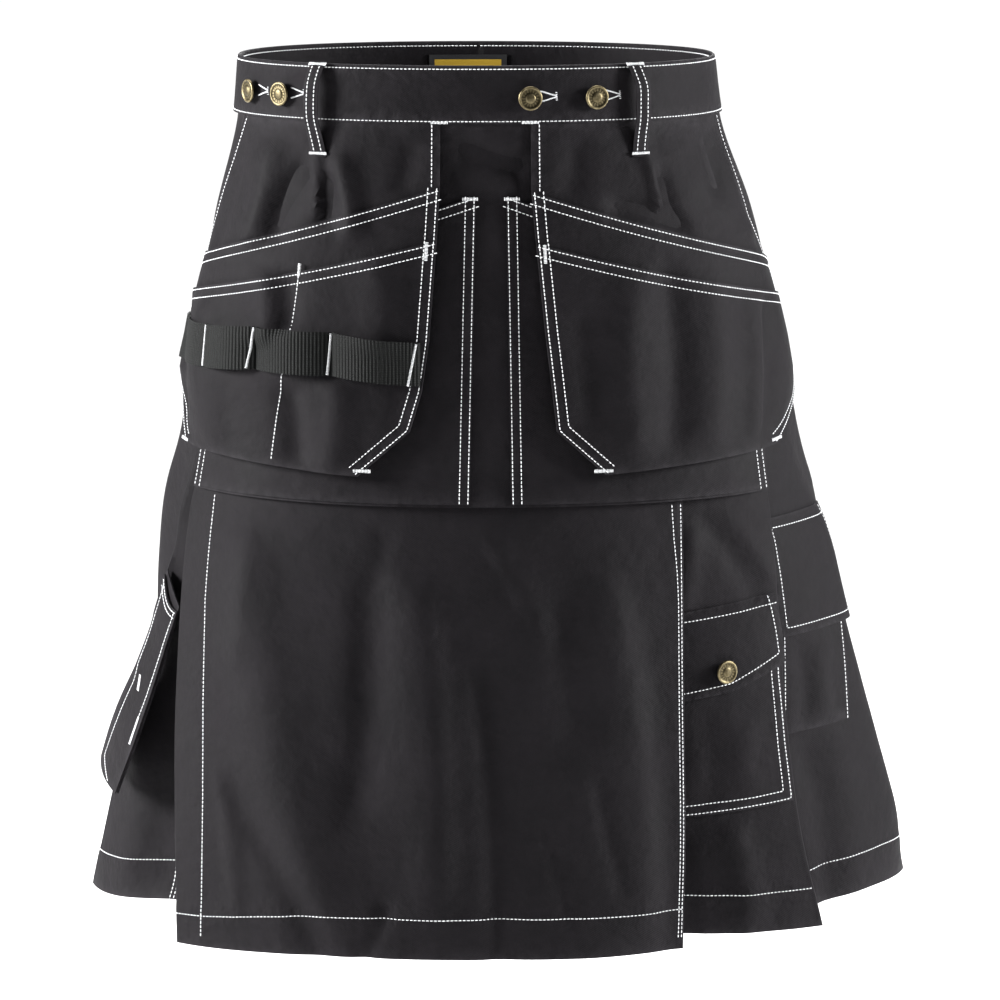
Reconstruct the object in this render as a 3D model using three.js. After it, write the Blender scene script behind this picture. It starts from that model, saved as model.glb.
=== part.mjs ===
// A utility kilt, hollow as it is worn: waistband, wrapped front apron, pleated sides and back, a tool apron
// with two patch pockets, two hanging holsters of two pockets each, cargo, phone and ruler pockets.
// Millimetres, +Z up. The origin is the centre of the waistband, where the wearer's waist holds it.
// The front faces -Y and +X is the wearer's left. A girth is a length along the body ring from the front
// centre, positive towards +X. "out" is how far a layer lies outside that ring.
import * as THREE from "three";

// Driving sizes
const BAND_TOP = 20;
const BAND_BOTTOM = -20;
const HEM = -594;
const SEAM_GAP = 0.3;
const PLY = 1;
const LAYER = 1.6;
const LOOP_WIDTH = 11.5;
const LOOP_PLY = 1.4;
const LOOP_BULGE = 8.4;
const STRAP_PLY = 1.3;
const BUTTON_RADIUS = 8.4;
const LABEL_WIDTH = 58;
const LABEL_PLY = 1;
const LABEL_ASIDE = 8;

// How far each layer lies out of the ring where it is sewn into the waistband
const FRONT_PLY_OUT = 0.5;
const TOOL_APRON_OUT = FRONT_PLY_OUT + LAYER;
const HOLSTER_OUT = TOOL_APRON_OUT + LAYER;
const BAND_STEP = 0.9;
const BAND_OUT = HOLSTER_OUT + BAND_STEP;

// The body ring: how far it reaches left, right, front and back of the waist's centre at each height
const ROUNDNESS = 2.2;
const SECTIONS = [
  { z: 20, left: 168, right: 166, front: 128, back: 128 },
  { z: -20, left: 171, right: 171, front: 130, back: 131 },
  { z: -90, left: 186, right: 196, front: 140, back: 152 },
  { z: -200, left: 204, right: 219, front: 157, back: 177 },
  { z: -250, left: 210.5, right: 228, front: 165, back: 183 },
  { z: -300, left: 224, right: 241, front: 174, back: 190 },
  { z: -360, left: 236, right: 254, front: 184, back: 199 },
  { z: -440, left: 252, right: 275, front: 200, back: 210 },
  { z: -590, left: 284, right: 316, front: 229, back: 236 },
];

// The knife pleats: the girth of each fold, how deep the next panel lies behind it, and how far it turns
// under
const APRON_FOLD = [
  { z: -20, fold: -150, recess: 3.2, under: 8 },
  { z: -125, fold: -190, recess: 3.4, under: 10 },
  { z: -255, fold: -222, recess: 6, under: 14 },
  { z: -295, fold: -236, recess: 12, under: 18 },
  { z: -362, fold: -240, recess: 25, under: 22 },
  { z: -430, fold: -239, recess: 38, under: 26 },
  { z: -510, fold: -233, recess: 52, under: 30 },
  { z: -590, fold: -226, recess: 65, under: 30 },
];
const SIDE_LEFT_FOLD = [
  { z: -20, fold: -178, recess: 3.2, under: 8 },
  { z: -125, fold: -226, recess: 3.4, under: 10 },
  { z: -255, fold: -238, recess: 8, under: 14 },
  { z: -295, fold: -252, recess: 14, under: 18 },
  { z: -350, fold: -276, recess: 22, under: 22 },
  { z: -430, fold: -325, recess: 28, under: 26 },
  { z: -510, fold: -366, recess: 28, under: 28 },
  { z: -590, fold: -400, recess: 25, under: 30 },
];
const REAR_LEFT_FOLD = [
  { z: -20, fold: -330, recess: 3.2, under: 8 },
  { z: -125, fold: -378, recess: 3.4, under: 10 },
  { z: -255, fold: -440, recess: 8, under: 16 },
  { z: -430, fold: -528, recess: 20, under: 26 },
  { z: -590, fold: -612, recess: 30, under: 30 },
];
const SIDE_RIGHT_FOLD = [
  { z: -20, fold: 178, recess: 3.2, under: 8 },
  { z: -125, fold: 206, recess: 3.4, under: 10 },
  { z: -255, fold: 222, recess: 8, under: 14 },
  { z: -295, fold: 228, recess: 14, under: 18 },
  { z: -350, fold: 232, recess: 20, under: 20 },
  { z: -430, fold: 240, recess: 30, under: 24 },
  { z: -510, fold: 254, recess: 40, under: 28 },
  { z: -590, fold: 276, recess: 50, under: 30 },
];
const REAR_RIGHT_FOLD = [
  { z: -20, fold: 330, recess: 3.2, under: 8 },
  { z: -125, fold: 388, recess: 3.4, under: 10 },
  { z: -255, fold: 458, recess: 8, under: 16 },
  { z: -430, fold: 560, recess: 20, under: 26 },
  { z: -590, fold: 652, recess: 30, under: 30 },
];

// The wrap's free edge, the depth of the side panel behind it, and how far that panel goes on beneath it
const WRAP_EDGE = [
  { z: -20, edge: 147, recess: 3.2, beneath: 70 },
  { z: -255, edge: 148, recess: 4, beneath: 76 },
  { z: -350, edge: 149, recess: 11, beneath: 80 },
  { z: -430, edge: 149.5, recess: 22, beneath: 84 },
  { z: -510, edge: 150.5, recess: 34, beneath: 88 },
  { z: -590, edge: 148.5, recess: 44, beneath: 90 },
];

// The side seams: from the waistband down to the mouths of the holsters, and how far out the lapped edge lies
const SIDE_SEAMS = [
  { z: -20, left: -188, right: 206, out: 3.5 },
  { z: -90, left: -229, right: 226, out: 3.3 },
  { z: -121, left: -254, right: 254.5, out: 1.7 },
];
const SEAM_FOOT = -121;
const SEAM_END = -124.5;

// The holsters, from the waistband down: girth and height at the outer and the inner edge, and how far out
// the cloth lies along the inner edge and middle (out) and at the outer edge (edge)
const HOLSTER_LEFT = [
  { outer: -188, outerZ: -20, inner: -25, innerZ: -20, out: 3.7, edge: 3.7 },
  { outer: -229, outerZ: -90, inner: -25, innerZ: -48, out: 5.8, edge: 3.5 },
  { outer: -256, outerZ: -124, inner: -25, innerZ: -63, out: 7, edge: 3.4 },
  { outer: -272, outerZ: -150, inner: -27, innerZ: -99, out: 8, edge: 4.2 },
  { outer: -277, outerZ: -180, inner: -32, innerZ: -167, out: 9, edge: 4.6 },
  { outer: -286, outerZ: -202, inner: -37, innerZ: -202, out: 9.6, edge: 5.4 },
  { outer: -257, outerZ: -222, inner: -45, innerZ: -229, out: 10, edge: 6 },
  { outer: -230, outerZ: -250, inner: -80, innerZ: -260, out: 11, edge: 10 },
];
const HOLSTER_RIGHT = [
  { outer: 206, outerZ: -20, inner: 37, innerZ: -20, out: 3.7, edge: 3.7 },
  { outer: 226, outerZ: -90, inner: 37, innerZ: -50, out: 5.8, edge: 3.5 },
  { outer: 256.5, outerZ: -124, inner: 37, innerZ: -66, out: 7, edge: 3.4 },
  { outer: 272, outerZ: -151, inner: 40, innerZ: -101, out: 8, edge: 4.2 },
  { outer: 282, outerZ: -180, inner: 46, innerZ: -160, out: 9, edge: 5 },
  { outer: 284, outerZ: -202, inner: 50, innerZ: -194, out: 9.6, edge: 5.4 },
  { outer: 272, outerZ: -219, inner: 54, innerZ: -229, out: 10, edge: 6 },
  { outer: 224, outerZ: -249, inner: 87, innerZ: -259, out: 11, edge: 10 },
];
const INNER_MOUTH_ROW = 2;
const OUTER_MOUTH_ROW = 3;
const EDGE_DROP = 0.82;
const MOUTH_DIP = 4;

// The tool apron and the patch pockets on it
const TOOL_APRON_EDGES = [
  { z: -20, left: -172, right: 172, out: TOOL_APRON_OUT },
  { z: -60, left: -183, right: 183, out: 2.5 },
  { z: -90, left: -193, right: 193, out: 2.7 },
  { z: -130, left: -206, right: 206, out: 3 },
  { z: -200, left: -218, right: 218, out: 3.4 },
  { z: -250, left: -222, right: 221, out: 4 },
  { z: -281, left: -226, right: 222, out: 4.6 },
];
const PATCHES = [
  { name: "patch_pocket_left", inner: -0.5, innerFoot: -4.8, outer: -208, outerFoot: -223 },
  { name: "patch_pocket_right", inner: 20, innerFoot: 23.5, outer: 208, outerFoot: 219 },
];
const PATCH_MOUTH = -69;
const PATCH_MOUTH_OUTER = -137;
const PATCH_FOOT = -279;

// The webbing on the left holster: the girths where it is tacked down, its top edge at either end, its
// height, how far it stands off the pocket and how far it bows out between two tacks
const STRAP_TACKS = [-274, -210, -161, -100, -40];
const STRAP_TOP_OUTER = -164;
const STRAP_TOP_INNER = -170;
const STRAP_HEIGHT = 30;
const STRAP_LIFT = LAYER + 0.2;
const STRAP_BULGE = 8.5;
const STRAP_ROUND = 0.75;

// Belt loops: girth at mid band, the share of the ring's growth that each follows as it goes down, and how
// far out the cloth is that carries its foot
const BELT_LOOPS = [
  { name: "front_left", girth: -113, drift: 0, foot: 6.6, top: 21.5 },
  { name: "front_right", girth: 114, drift: 0, foot: 6.6, top: 21.5 },
  { name: "side_left", girth: -296, drift: 0.5, foot: 2, top: 18.5 },
  { name: "side_right", girth: 296, drift: 0.5, foot: 2, top: 18.5 },
  { name: "back_left", girth: -396, drift: 1, foot: 2, top: 18.5 },
  { name: "back_right", girth: 396, drift: 1, foot: 2, top: 18.5 },
  { name: "back_centre", girth: 479, drift: 1, foot: 2, top: 18.5 },
];
const LOOP_FOOT_Z = -41;

const BAND_BUTTONS = [
  { name: "left_outer", girth: -176 },
  { name: "left_inner", girth: -142 },
  { name: "right_inner", girth: 36 },
  { name: "right_outer", girth: 81.5 },
];
const BUTTON_Z = -2.2;

// Pockets on the body panels: girth and height at the front and rear edge, from the top down, how many layers
// each row lies off the panel, and how far its middle hangs slack
const CARGO_BAG = [
  { front: 112, frontZ: -374, rear: 229, rearZ: -363, lifts: 1, slack: 0 },
  { front: 112, frontZ: -420, rear: 233, rearZ: -410, lifts: 1, slack: 2 },
  { front: 112, frontZ: -470, rear: 240, rearZ: -458, lifts: 1, slack: 2.6 },
  { front: 112, frontZ: -511, rear: 248, rearZ: -499, lifts: 1, slack: 0.6 },
];
const CARGO_FLAP = [
  { front: 112, frontZ: -366, rear: 227, rearZ: -353, lifts: 0.9, slack: 0 },
  { front: 112, frontZ: -372, rear: 228, rearZ: -360, lifts: 2, slack: 0.2 },
  { front: 112, frontZ: -398, rear: 232, rearZ: -377, lifts: 2.1, slack: 1.6 },
  { front: 112, frontZ: -431, rear: 236, rearZ: -398, lifts: 2.2, slack: 2.6 },
];
const CARGO_FLAP_POINT = { girth: 192, drop: 8, reach: 70 };
const CARGO_BUTTON = { girth: 184.5, z: -403 };
const PHONE_BAG = [
  { front: 248, frontZ: -326, rear: 318, rearZ: -322, lifts: 1, slack: 0 },
  { front: 258, frontZ: -392, rear: 332, rearZ: -388, lifts: 1, slack: 1.4 },
  { front: 266, frontZ: -460, rear: 344, rearZ: -456, lifts: 1, slack: 0.4 },
];
const PHONE_FLAP = [
  { front: 234, frontZ: -305, rear: 322, rearZ: -302, lifts: 0.9, slack: 0 },
  { front: 239, frontZ: -322, rear: 326, rearZ: -318, lifts: 2, slack: 0.2 },
  { front: 245, frontZ: -346, rear: 334, rearZ: -342, lifts: 2.1, slack: 1 },
  { front: 255, frontZ: -390, rear: 346, rearZ: -385, lifts: 2.2, slack: 2 },
];

// The ruler pocket hangs from the left side panel near its fold and stands away from it lower down, where it
// grows wider. Its front ply is lifted off the back one and cut lower at the mouth.
const RULER = [
  { rear: -270, rearZ: -346, rearOut: -0.6, front: -249, frontZ: -368, frontOut: -3 },
  { rear: -285, rearZ: -383, rearOut: 0.5, front: -262, frontZ: -399, frontOut: -1 },
  { rear: -299, rearZ: -417, rearOut: 5, front: -279, frontZ: -434, frontOut: 1 },
  { rear: -330, rearZ: -455, rearOut: 10, front: -294, frontZ: -469, frontOut: 4 },
  { rear: -364, rearZ: -493, rearOut: 12, front: -320, frontZ: -506, frontOut: 7 },
];
const RULER_PLY = 1.2;
const RULER_LIFT = 2.2;
const RULER_MOUTH = 5;

const FINISHES = {
  cloth: { color: 0x242326, roughness: 0.85, metalness: 0 },
  webbing: { color: 0x2c2e2c, roughness: 0.7, metalness: 0 },
  brass: { color: 0x8a7a54, roughness: 0.4, metalness: 0.9 },
  label: { color: 0xc9a227, roughness: 0.85, metalness: 0 },
};

// A value between the rows of a table that is ordered by falling height.
function atHeight(table, key, z) {
  const last = table.length - 1;
  if (z >= table[0].z) return table[0][key];
  if (z <= table[last].z) return table[last][key];
  const i = table.findIndex((row) => row.z <= z);
  const share = (table[i - 1].z - z) / (table[i - 1].z - table[i].z);
  return THREE.MathUtils.lerp(table[i - 1][key], table[i][key], share);
}

// The rows of a table, with a share between two of them: 1.5 is half way from row 1 to row 2.
function atRow(table, key, row) {
  const i = Math.min(Math.floor(row), table.length - 2);
  return THREE.MathUtils.lerp(table[i][key], table[i + 1][key], row - i);
}

// A smooth step from 0 to 1 as share goes from 0 to 1.
function ease(share) {
  return THREE.MathUtils.smoothstep(share, 0, 1);
}

// The ring's half outline at a height, from the front centre round to the back centre.
const RING_STEPS = 120;
function halfOutline(z, side) {
  const across = atHeight(SECTIONS, side < 0 ? "left" : "right", z);
  const front = atHeight(SECTIONS, "front", z);
  const back = atHeight(SECTIONS, "back", z);
  const corners = [];
  for (let step = 0; step <= RING_STEPS; step++) {
    const angle = (Math.PI * step) / RING_STEPS;
    const along = Math.cos(angle);
    const depth = along >= 0 ? -front : back;
    const x = across * Math.abs(Math.sin(angle)) ** (2 / ROUNDNESS);
    corners.push(new THREE.Vector2(x, depth * Math.abs(along) ** (2 / ROUNDNESS)));
  }
  return { corners, across, front, back };
}

// The ring's half girth at a height.
function halfGirth(z, side) {
  const { corners } = halfOutline(z, side);
  return corners.slice(1).reduce((sum, corner, i) => sum + corner.distanceTo(corners[i]), 0);
}

// The point of the body ring at a girth and height, moved out of the ring along its level normal.
function onRing(girth, z, out) {
  const side = girth < 0 ? -1 : 1;
  const { corners, across, front, back } = halfOutline(z, side);
  let rest = Math.abs(girth);
  let step = 1;
  while (step < RING_STEPS && rest > corners[step].distanceTo(corners[step - 1])) {
    rest -= corners[step].distanceTo(corners[step - 1]);
    step++;
  }
  const length = corners[step].distanceTo(corners[step - 1]);
  const here = corners[step - 1].clone().lerp(corners[step], rest / length);
  const depth = here.y < 0 ? front : back;
  const normal = new THREE.Vector2(
    (Math.abs(here.x) / across) ** (ROUNDNESS - 1) / across,
    (Math.sign(here.y) * (Math.abs(here.y) / depth) ** (ROUNDNESS - 1)) / depth,
  ).normalize();
  return new THREE.Vector3(side * (here.x + normal.x * out), here.y + normal.y * out, z);
}

// A geometry from a grid of points, closed round its outline or, for a ring, joined end to end.
function closedWall(outer, inner, joined) {
  const rows = outer.length;
  const columns = outer[0].length;
  const points = [...outer.flat(), ...inner.flat()];
  const at = (row, column, side) => side * rows * columns + row * columns + (column % columns);
  const faces = [];
  const quad = (a, b, c, d) => faces.push(a, b, c, a, c, d);
  const spans = joined ? columns : columns - 1;
  for (let row = 0; row < rows - 1; row++)
    for (let column = 0; column < spans; column++) {
      quad(at(row, column, 0), at(row + 1, column, 0), at(row + 1, column + 1, 0), at(row, column + 1, 0));
      quad(at(row, column, 1), at(row, column + 1, 1), at(row + 1, column + 1, 1), at(row + 1, column, 1));
    }
  for (let column = 0; column < spans; column++) {
    quad(at(0, column, 0), at(0, column + 1, 0), at(0, column + 1, 1), at(0, column, 1));
    const foot = rows - 1;
    quad(at(foot, column, 0), at(foot, column, 1), at(foot, column + 1, 1), at(foot, column + 1, 0));
  }
  if (!joined)
    for (let row = 0; row < rows - 1; row++) {
      quad(at(row, 0, 0), at(row, 0, 1), at(row + 1, 0, 1), at(row + 1, 0, 0));
      const end = columns - 1;
      quad(at(row, end, 0), at(row + 1, end, 0), at(row + 1, end, 1), at(row, end, 1));
    }
  const geometry = new THREE.BufferGeometry().setFromPoints(points);
  geometry.setIndex(faces);
  geometry.computeVertexNormals();
  return geometry;
}

// A wall of cloth from rows of places { girth, z, out } along its middle, which may fold back on themselves.
// Each row runs towards the wearer's left, so that half the thickness is laid outside and half inside.
function clothWall(rows, thickness) {
  const half = thickness / 2;
  const laid = (side) =>
    rows.map((row) =>
      row.map((place, i) => {
        const before = row[Math.max(i - 1, 0)];
        const after = row[Math.min(i + 1, row.length - 1)];
        const along = after.girth - before.girth;
        const rise = after.out - before.out;
        const length = Math.hypot(along, rise);
        return onRing(
          place.girth - (side * half * rise) / length,
          place.z,
          place.out + (side * half * along) / length,
        );
      }),
    );
  return closedWall(laid(1), laid(-1), false);
}

function pieceMesh(name, geometry, finish = "cloth") {
  const mesh = new THREE.Mesh(geometry, new THREE.MeshStandardMaterial(FINISHES[finish]));
  mesh.name = name;
  return mesh;
}

// Body panels. Each is a row of places from a hidden front edge to a fold, and back under it to an inner
// fold.
const PANEL_TOP = BAND_BOTTOM - SEAM_GAP;
const PANEL_HEIGHTS = [
  PANEL_TOP, -60, -90, SEAM_FOOT, SEAM_END, -150, -200, -250, -300, -360, -440, -510, HEM,
];
const FOLD_RADIUS = 1.6;
const BESIDE_FOLD = 6;

// Each panel's hem: how far it is raised above the kilt's longest point where it starts to change, by how
// much more it is raised after that, and the girths, without their sign, between which it changes
const HEMS = {
  front_apron: { rise: 5.5, more: -5.5, from: 90, to: 250, side: -1 },
  side_panel_right: { rise: 4.5, more: 0, from: 0, to: 1, side: 1 },
  side_panel_left: { rise: 10, more: -7, from: 260, to: 390, side: -1 },
  rear_panel_right: { rise: 3, more: 10, from: 270, to: 380, side: 1 },
  rear_panel_left: { rise: 3, more: 9, from: 420, to: 580, side: -1 },
  back_panel: { rise: 12, more: 0, from: 0, to: 1, side: 1 },
};
function hemmed(name, row) {
  const { rise, more, from, to, side } = HEMS[name];
  const raised = (girth) => HEM + rise + more * ease((side * girth - from) / (to - from));
  return row.map((place) => (place.z > HEM ? place : { ...place, z: raised(place.girth) }));
}

// The places of a pleat's edge: round the fold, then slanting in to the inner fold.
function foldedEdge(fold, side, z, out) {
  const turn = atHeight(fold, "fold", z);
  const under = atHeight(fold, "under", z);
  const depth = Math.max(atHeight(fold, "recess", z) - LAYER, LAYER);
  const radius = Math.min(FOLD_RADIUS, depth / 2);
  return [
    { girth: turn - side * radius, z, out },
    { girth: turn, z, out: out - radius },
    { girth: turn - side * radius, z, out: out - Math.min(2 * radius, depth) },
    { girth: turn - (side * under) / 2, z, out: out - Math.max(depth / 2, Math.min(2 * radius, depth)) },
    { girth: turn - side * under, z, out: out - depth },
  ];
}

// How far out a panel lies: deepest where it starts behind the panel in front, then up to the ring over a
// ramp, which ends at the panel's own fold where that is given and otherwise grows wider towards the hem
const RAMP_TOP = 24;
const RAMP_FOOT = 160;
const RAMP_GROWTH = 1.5;
const RAMP_LEAST = 12;
const RAMP_POWER = 1.2;
const downSkirt = (z) => (BAND_BOTTOM - z) / (BAND_BOTTOM - HEM);
function rampedOut(front, frontOut, girth, z, setBack = 0, rear = null) {
  const start = atHeight(front, "fold" in front[0] ? "fold" : "edge", z);
  const full = FRONT_PLY_OUT - setBack;
  const deepest = frontOut(start, z) - atHeight(front, "recess", z);
  const ramp = rear
    ? Math.max(Math.abs(atHeight(rear, "fold", z) - start), RAMP_LEAST)
    : THREE.MathUtils.lerp(RAMP_TOP, RAMP_FOOT, downSkirt(z) ** RAMP_GROWTH);
  const share = THREE.MathUtils.clamp((Math.sign(start) * (girth - start)) / ramp, 0, 1);
  return full + (deepest - full) * (1 - share) ** RAMP_POWER;
}

// The wrap is drawn in towards its free edge, and the panel behind it lies further in towards the hem.
const WRAP_PULL = { depth: 11, start: 70, width: 75 };
const SIDE_SET_BACK = { depth: 9, top: -300, height: 290 };
function apronOut(girth, z) {
  const pull = ease((girth - WRAP_PULL.start) / WRAP_PULL.width) * WRAP_PULL.depth;
  return FRONT_PLY_OUT - pull * downSkirt(z) ** 2;
}
function sideRightOut(girth, z) {
  const setBack = SIDE_SET_BACK.depth * ease((SIDE_SET_BACK.top - z) / SIDE_SET_BACK.height);
  return rampedOut(WRAP_EDGE, apronOut, girth, z, setBack);
}
const sideLeftOut = (girth, z) => rampedOut(APRON_FOLD, apronOut, girth, z, 0, SIDE_LEFT_FOLD);

// Soft flutes that the flared back falls into towards the hem, from just beyond the pleat's fold.
const FLUTE = { top: -140, width: 150, depth: 5, start: 30 };
function backFlute(girth, z) {
  const fold = girth > 0 ? REAR_RIGHT_FOLD : REAR_LEFT_FOLD;
  const past = Math.abs(girth) - Math.abs(atHeight(fold, "fold", z));
  const share = ease((FLUTE.top - z) / (FLUTE.top - HEM));
  return FLUTE.depth * share * Math.sin((2 * Math.PI * past) / FLUTE.width) * ease(past / FLUTE.start);
}

// The front edge of a rear panel: at the side seam above, and behind the side panel's fold below.
const SEAM_EASE = 42;
function rearOut(fold, sideOut, side, girth, z) {
  const seam = atHeight(SIDE_SEAMS, side < 0 ? "left" : "right", z);
  if (z >= SEAM_FOOT) {
    const share = 1 - ease((side * (girth - seam)) / SEAM_EASE);
    return FRONT_PLY_OUT + (atHeight(SIDE_SEAMS, "out", z) - FRONT_PLY_OUT) * share;
  }
  return rampedOut(fold, sideOut, girth, z);
}
const rearRightOut = (girth, z) => rearOut(SIDE_RIGHT_FOLD, sideRightOut, 1, girth, z);
const rearLeftOut = (girth, z) => rearOut(SIDE_LEFT_FOLD, sideLeftOut, -1, girth, z);
const backRightOut = (girth, z) => rampedOut(REAR_RIGHT_FOLD, rearRightOut, girth, z) + backFlute(girth, z);
const backLeftOut = (girth, z) => rampedOut(REAR_LEFT_FOLD, rearLeftOut, girth, z) + backFlute(girth, z);

// Places spread evenly between two girths, with the panel's own lie.
function spread(from, to, count, z, outAt) {
  return Array.from({ length: count + 1 }, (_, i) => {
    const girth = THREE.MathUtils.lerp(from, to, i / count);
    return { girth, z, out: outAt(girth, z) };
  });
}

const APRON_COLUMNS = 13;
function apron() {
  const rows = PANEL_HEIGHTS.map((z) => {
    const fold = atHeight(APRON_FOLD, "fold", z);
    const edge = atHeight(WRAP_EDGE, "edge", z);
    const folded = foldedEdge(APRON_FOLD, -1, z, apronOut(fold, z)).reverse();
    const open = spread(fold + BESIDE_FOLD, edge, APRON_COLUMNS, z, apronOut);
    return hemmed("front_apron", [...folded, ...open]);
  });
  return pieceMesh("front_apron", clothWall(rows, PLY));
}

// The places of a panel that starts beneath a pleat, level with the cloth that is turned under there.
function beneathFold(fold, side, z, outAt) {
  const turn = atHeight(fold, "fold", z);
  const under = atHeight(fold, "under", z);
  return [1, 0.5, 0].map((share) => {
    const girth = turn - side * under * share;
    return { girth, z, out: outAt(girth, z) };
  });
}

// A panel from its start to its pleat's fold at the rear.
function pleatedPanel(name, side, startPlaces, fold, outAt, columns) {
  const rows = PANEL_HEIGHTS.map((z) => {
    const start = startPlaces(z);
    const turn = atHeight(fold, "fold", z);
    const last = start[start.length - 1].girth;
    const row = [
      ...start,
      ...spread(last, turn - side * BESIDE_FOLD, columns, z, outAt).slice(1),
      ...foldedEdge(fold, side, z, outAt(turn, z)),
    ];
    return hemmed(name, side < 0 ? row.reverse() : row);
  });
  return pieceMesh(name, clothWall(rows, PLY));
}

// Where a rear panel starts: at the side seam above, and beneath the side panel's pleat below.
const SEAM_CLEAR = 1.2;
const SEAM_LAP = 12;
function rearStart(fold, side, outAt) {
  const seamKey = side < 0 ? "left" : "right";
  return (z) => {
    if (z < SEAM_FOOT) return beneathFold(fold, side, z, outAt);
    const seam = atHeight(SIDE_SEAMS, seamKey, z) + side * SEAM_CLEAR;
    return spread(seam, seam + side * SEAM_LAP, 2, z, outAt);
  };
}

function wrapStart(z) {
  const edge = atHeight(WRAP_EDGE, "edge", z);
  return spread(edge - atHeight(WRAP_EDGE, "beneath", z), edge, 3, z, sideRightOut);
}

// The back panel crosses the back centre, where the girth changes sign, so its faces are laid half by half.
const BACK_COLUMNS = 7;
function backPanel() {
  const rows = PANEL_HEIGHTS.map((z) => {
    const right = beneathFold(REAR_RIGHT_FOLD, 1, z, backRightOut);
    const left = beneathFold(REAR_LEFT_FOLD, -1, z, backLeftOut);
    const rightEnd = halfGirth(z, 1) - PLY;
    const leftEnd = PLY - halfGirth(z, -1);
    return hemmed("back_panel", [
      ...right,
      ...spread(right[2].girth, rightEnd, BACK_COLUMNS, z, backRightOut).slice(1),
      ...spread(left[2].girth, leftEnd, BACK_COLUMNS, z, backLeftOut).slice(1).reverse(),
      ...left.reverse(),
    ]);
  });
  const laid = (inset) => rows.map((row) => row.map(({ girth, z, out }) => onRing(girth, z, out + inset)));
  return pieceMesh("back_panel", closedWall(laid(PLY / 2), laid(-PLY / 2), false));
}

function bodyPanels() {
  const underApron = (z) => beneathFold(APRON_FOLD, -1, z, sideLeftOut);
  const rearStartRight = rearStart(SIDE_RIGHT_FOLD, 1, rearRightOut);
  const rearStartLeft = rearStart(SIDE_LEFT_FOLD, -1, rearLeftOut);
  return [
    apron(),
    pleatedPanel("side_panel_right", 1, wrapStart, SIDE_RIGHT_FOLD, sideRightOut, 8),
    pleatedPanel("side_panel_left", -1, underApron, SIDE_LEFT_FOLD, sideLeftOut, 6),
    pleatedPanel("rear_panel_right", 1, rearStartRight, REAR_RIGHT_FOLD, rearRightOut, 11),
    pleatedPanel("rear_panel_left", -1, rearStartLeft, REAR_LEFT_FOLD, rearLeftOut, 8),
    backPanel(),
  ];
}

// The waistband: a ring whose inner face leans in over the layers that are sewn into it.
const BAND_COLUMNS = 60;
const BAND_FACE = [
  { z: BAND_TOP, out: BAND_OUT - 1 },
  { z: BAND_TOP - 1, out: BAND_OUT - 0.3 },
  { z: 0, out: BAND_OUT - 0.1 },
  { z: BAND_BOTTOM, out: BAND_OUT },
];
const BAND_BACK = [
  { z: BAND_TOP, out: 2.2 },
  { z: BAND_TOP - 1, out: 1.6 },
  { z: 0, out: 0.4 },
  { z: BAND_BOTTOM, out: -1.2 },
];
function bandRing(face) {
  return face.map(({ z, out }) => {
    const right = halfGirth(z, 1);
    const left = halfGirth(z, -1);
    return Array.from({ length: BAND_COLUMNS }, (_, i) => {
      const share = (2 * i) / BAND_COLUMNS - 1;
      return onRing(share < 0 ? share * left : share * right, z, out);
    });
  });
}
function waistband() {
  return pieceMesh("waistband", closedWall(bandRing(BAND_FACE), bandRing(BAND_BACK), true));
}

// The tool apron, and the patch pockets that lie on it
const TOOL_APRON_COLUMNS = 22;
const toolApronOut = (girth, z) => atHeight(TOOL_APRON_EDGES, "out", z);
function toolApron() {
  const rows = TOOL_APRON_EDGES.map((edges) => {
    const z = Math.min(edges.z, PANEL_TOP);
    return spread(edges.left, edges.right, TOOL_APRON_COLUMNS, z, toolApronOut);
  });
  return pieceMesh("tool_apron", clothWall(rows, PLY));
}

const PATCH_ROWS = 6;
const PATCH_COLUMNS = 12;
function patchPocket(patch) {
  const { lerp } = THREE.MathUtils;
  const rows = Array.from({ length: PATCH_ROWS + 1 }, (_, i) => {
    const down = i / PATCH_ROWS;
    const inner = lerp(patch.inner, patch.innerFoot, down);
    const outer = lerp(patch.outer, patch.outerFoot, down);
    const innerZ = lerp(PATCH_MOUTH, PATCH_FOOT, down);
    const outerZ = lerp(PATCH_MOUTH_OUTER, PATCH_FOOT, down);
    const row = Array.from({ length: PATCH_COLUMNS + 1 }, (_, j) => {
      const girth = lerp(inner, outer, j / PATCH_COLUMNS);
      const z = lerp(innerZ, outerZ, j / PATCH_COLUMNS);
      return { girth, z, out: toolApronOut(girth, z) + LAYER };
    });
    return patch.outer < 0 ? row.reverse() : row;
  });
  return pieceMesh(patch.name, clothWall(rows, PLY));
}

// Holsters: three plies from one table, each lying on the last and slack in its middle
const HOLSTER_COLUMNS = 14;
const HOLSTER_PLIES = [
  { name: "holster_back", firstRow: 0, lifts: 0, slack: 0 },
  { name: "holster_inner_pocket", firstRow: INNER_MOUTH_ROW, lifts: 1, slack: 2 },
  { name: "holster_outer_pocket", firstRow: OUTER_MOUTH_ROW, lifts: 2, slack: 4.5 },
];
function holsterPlace(table, row, across, ply) {
  const { lerp } = THREE.MathUtils;
  const mix = (inner, outer) => lerp(atRow(table, inner, row), atRow(table, outer, row), across);
  const main = atRow(table, "out", row);
  const edge = atRow(table, "edge", row);
  const drop = ease((across - EDGE_DROP) / (1 - EDGE_DROP));
  const down = (row - ply.firstRow) / (table.length - 1 - ply.firstRow);
  const sag = ply.slack * Math.sin(Math.PI * across) * Math.sin(Math.PI * (0.25 + 0.7 * down));
  const dip = row <= OUTER_MOUTH_ROW ? MOUTH_DIP * Math.sin(Math.PI * across) * Math.min(row, 1) : 0;
  return {
    girth: mix("inner", "outer"),
    z: mix("innerZ", "outerZ") - dip - (row === 0 ? SEAM_GAP : 0),
    out: lerp(main, edge, drop) + ply.lifts * LAYER + Math.max(sag, 0),
  };
}
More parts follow.
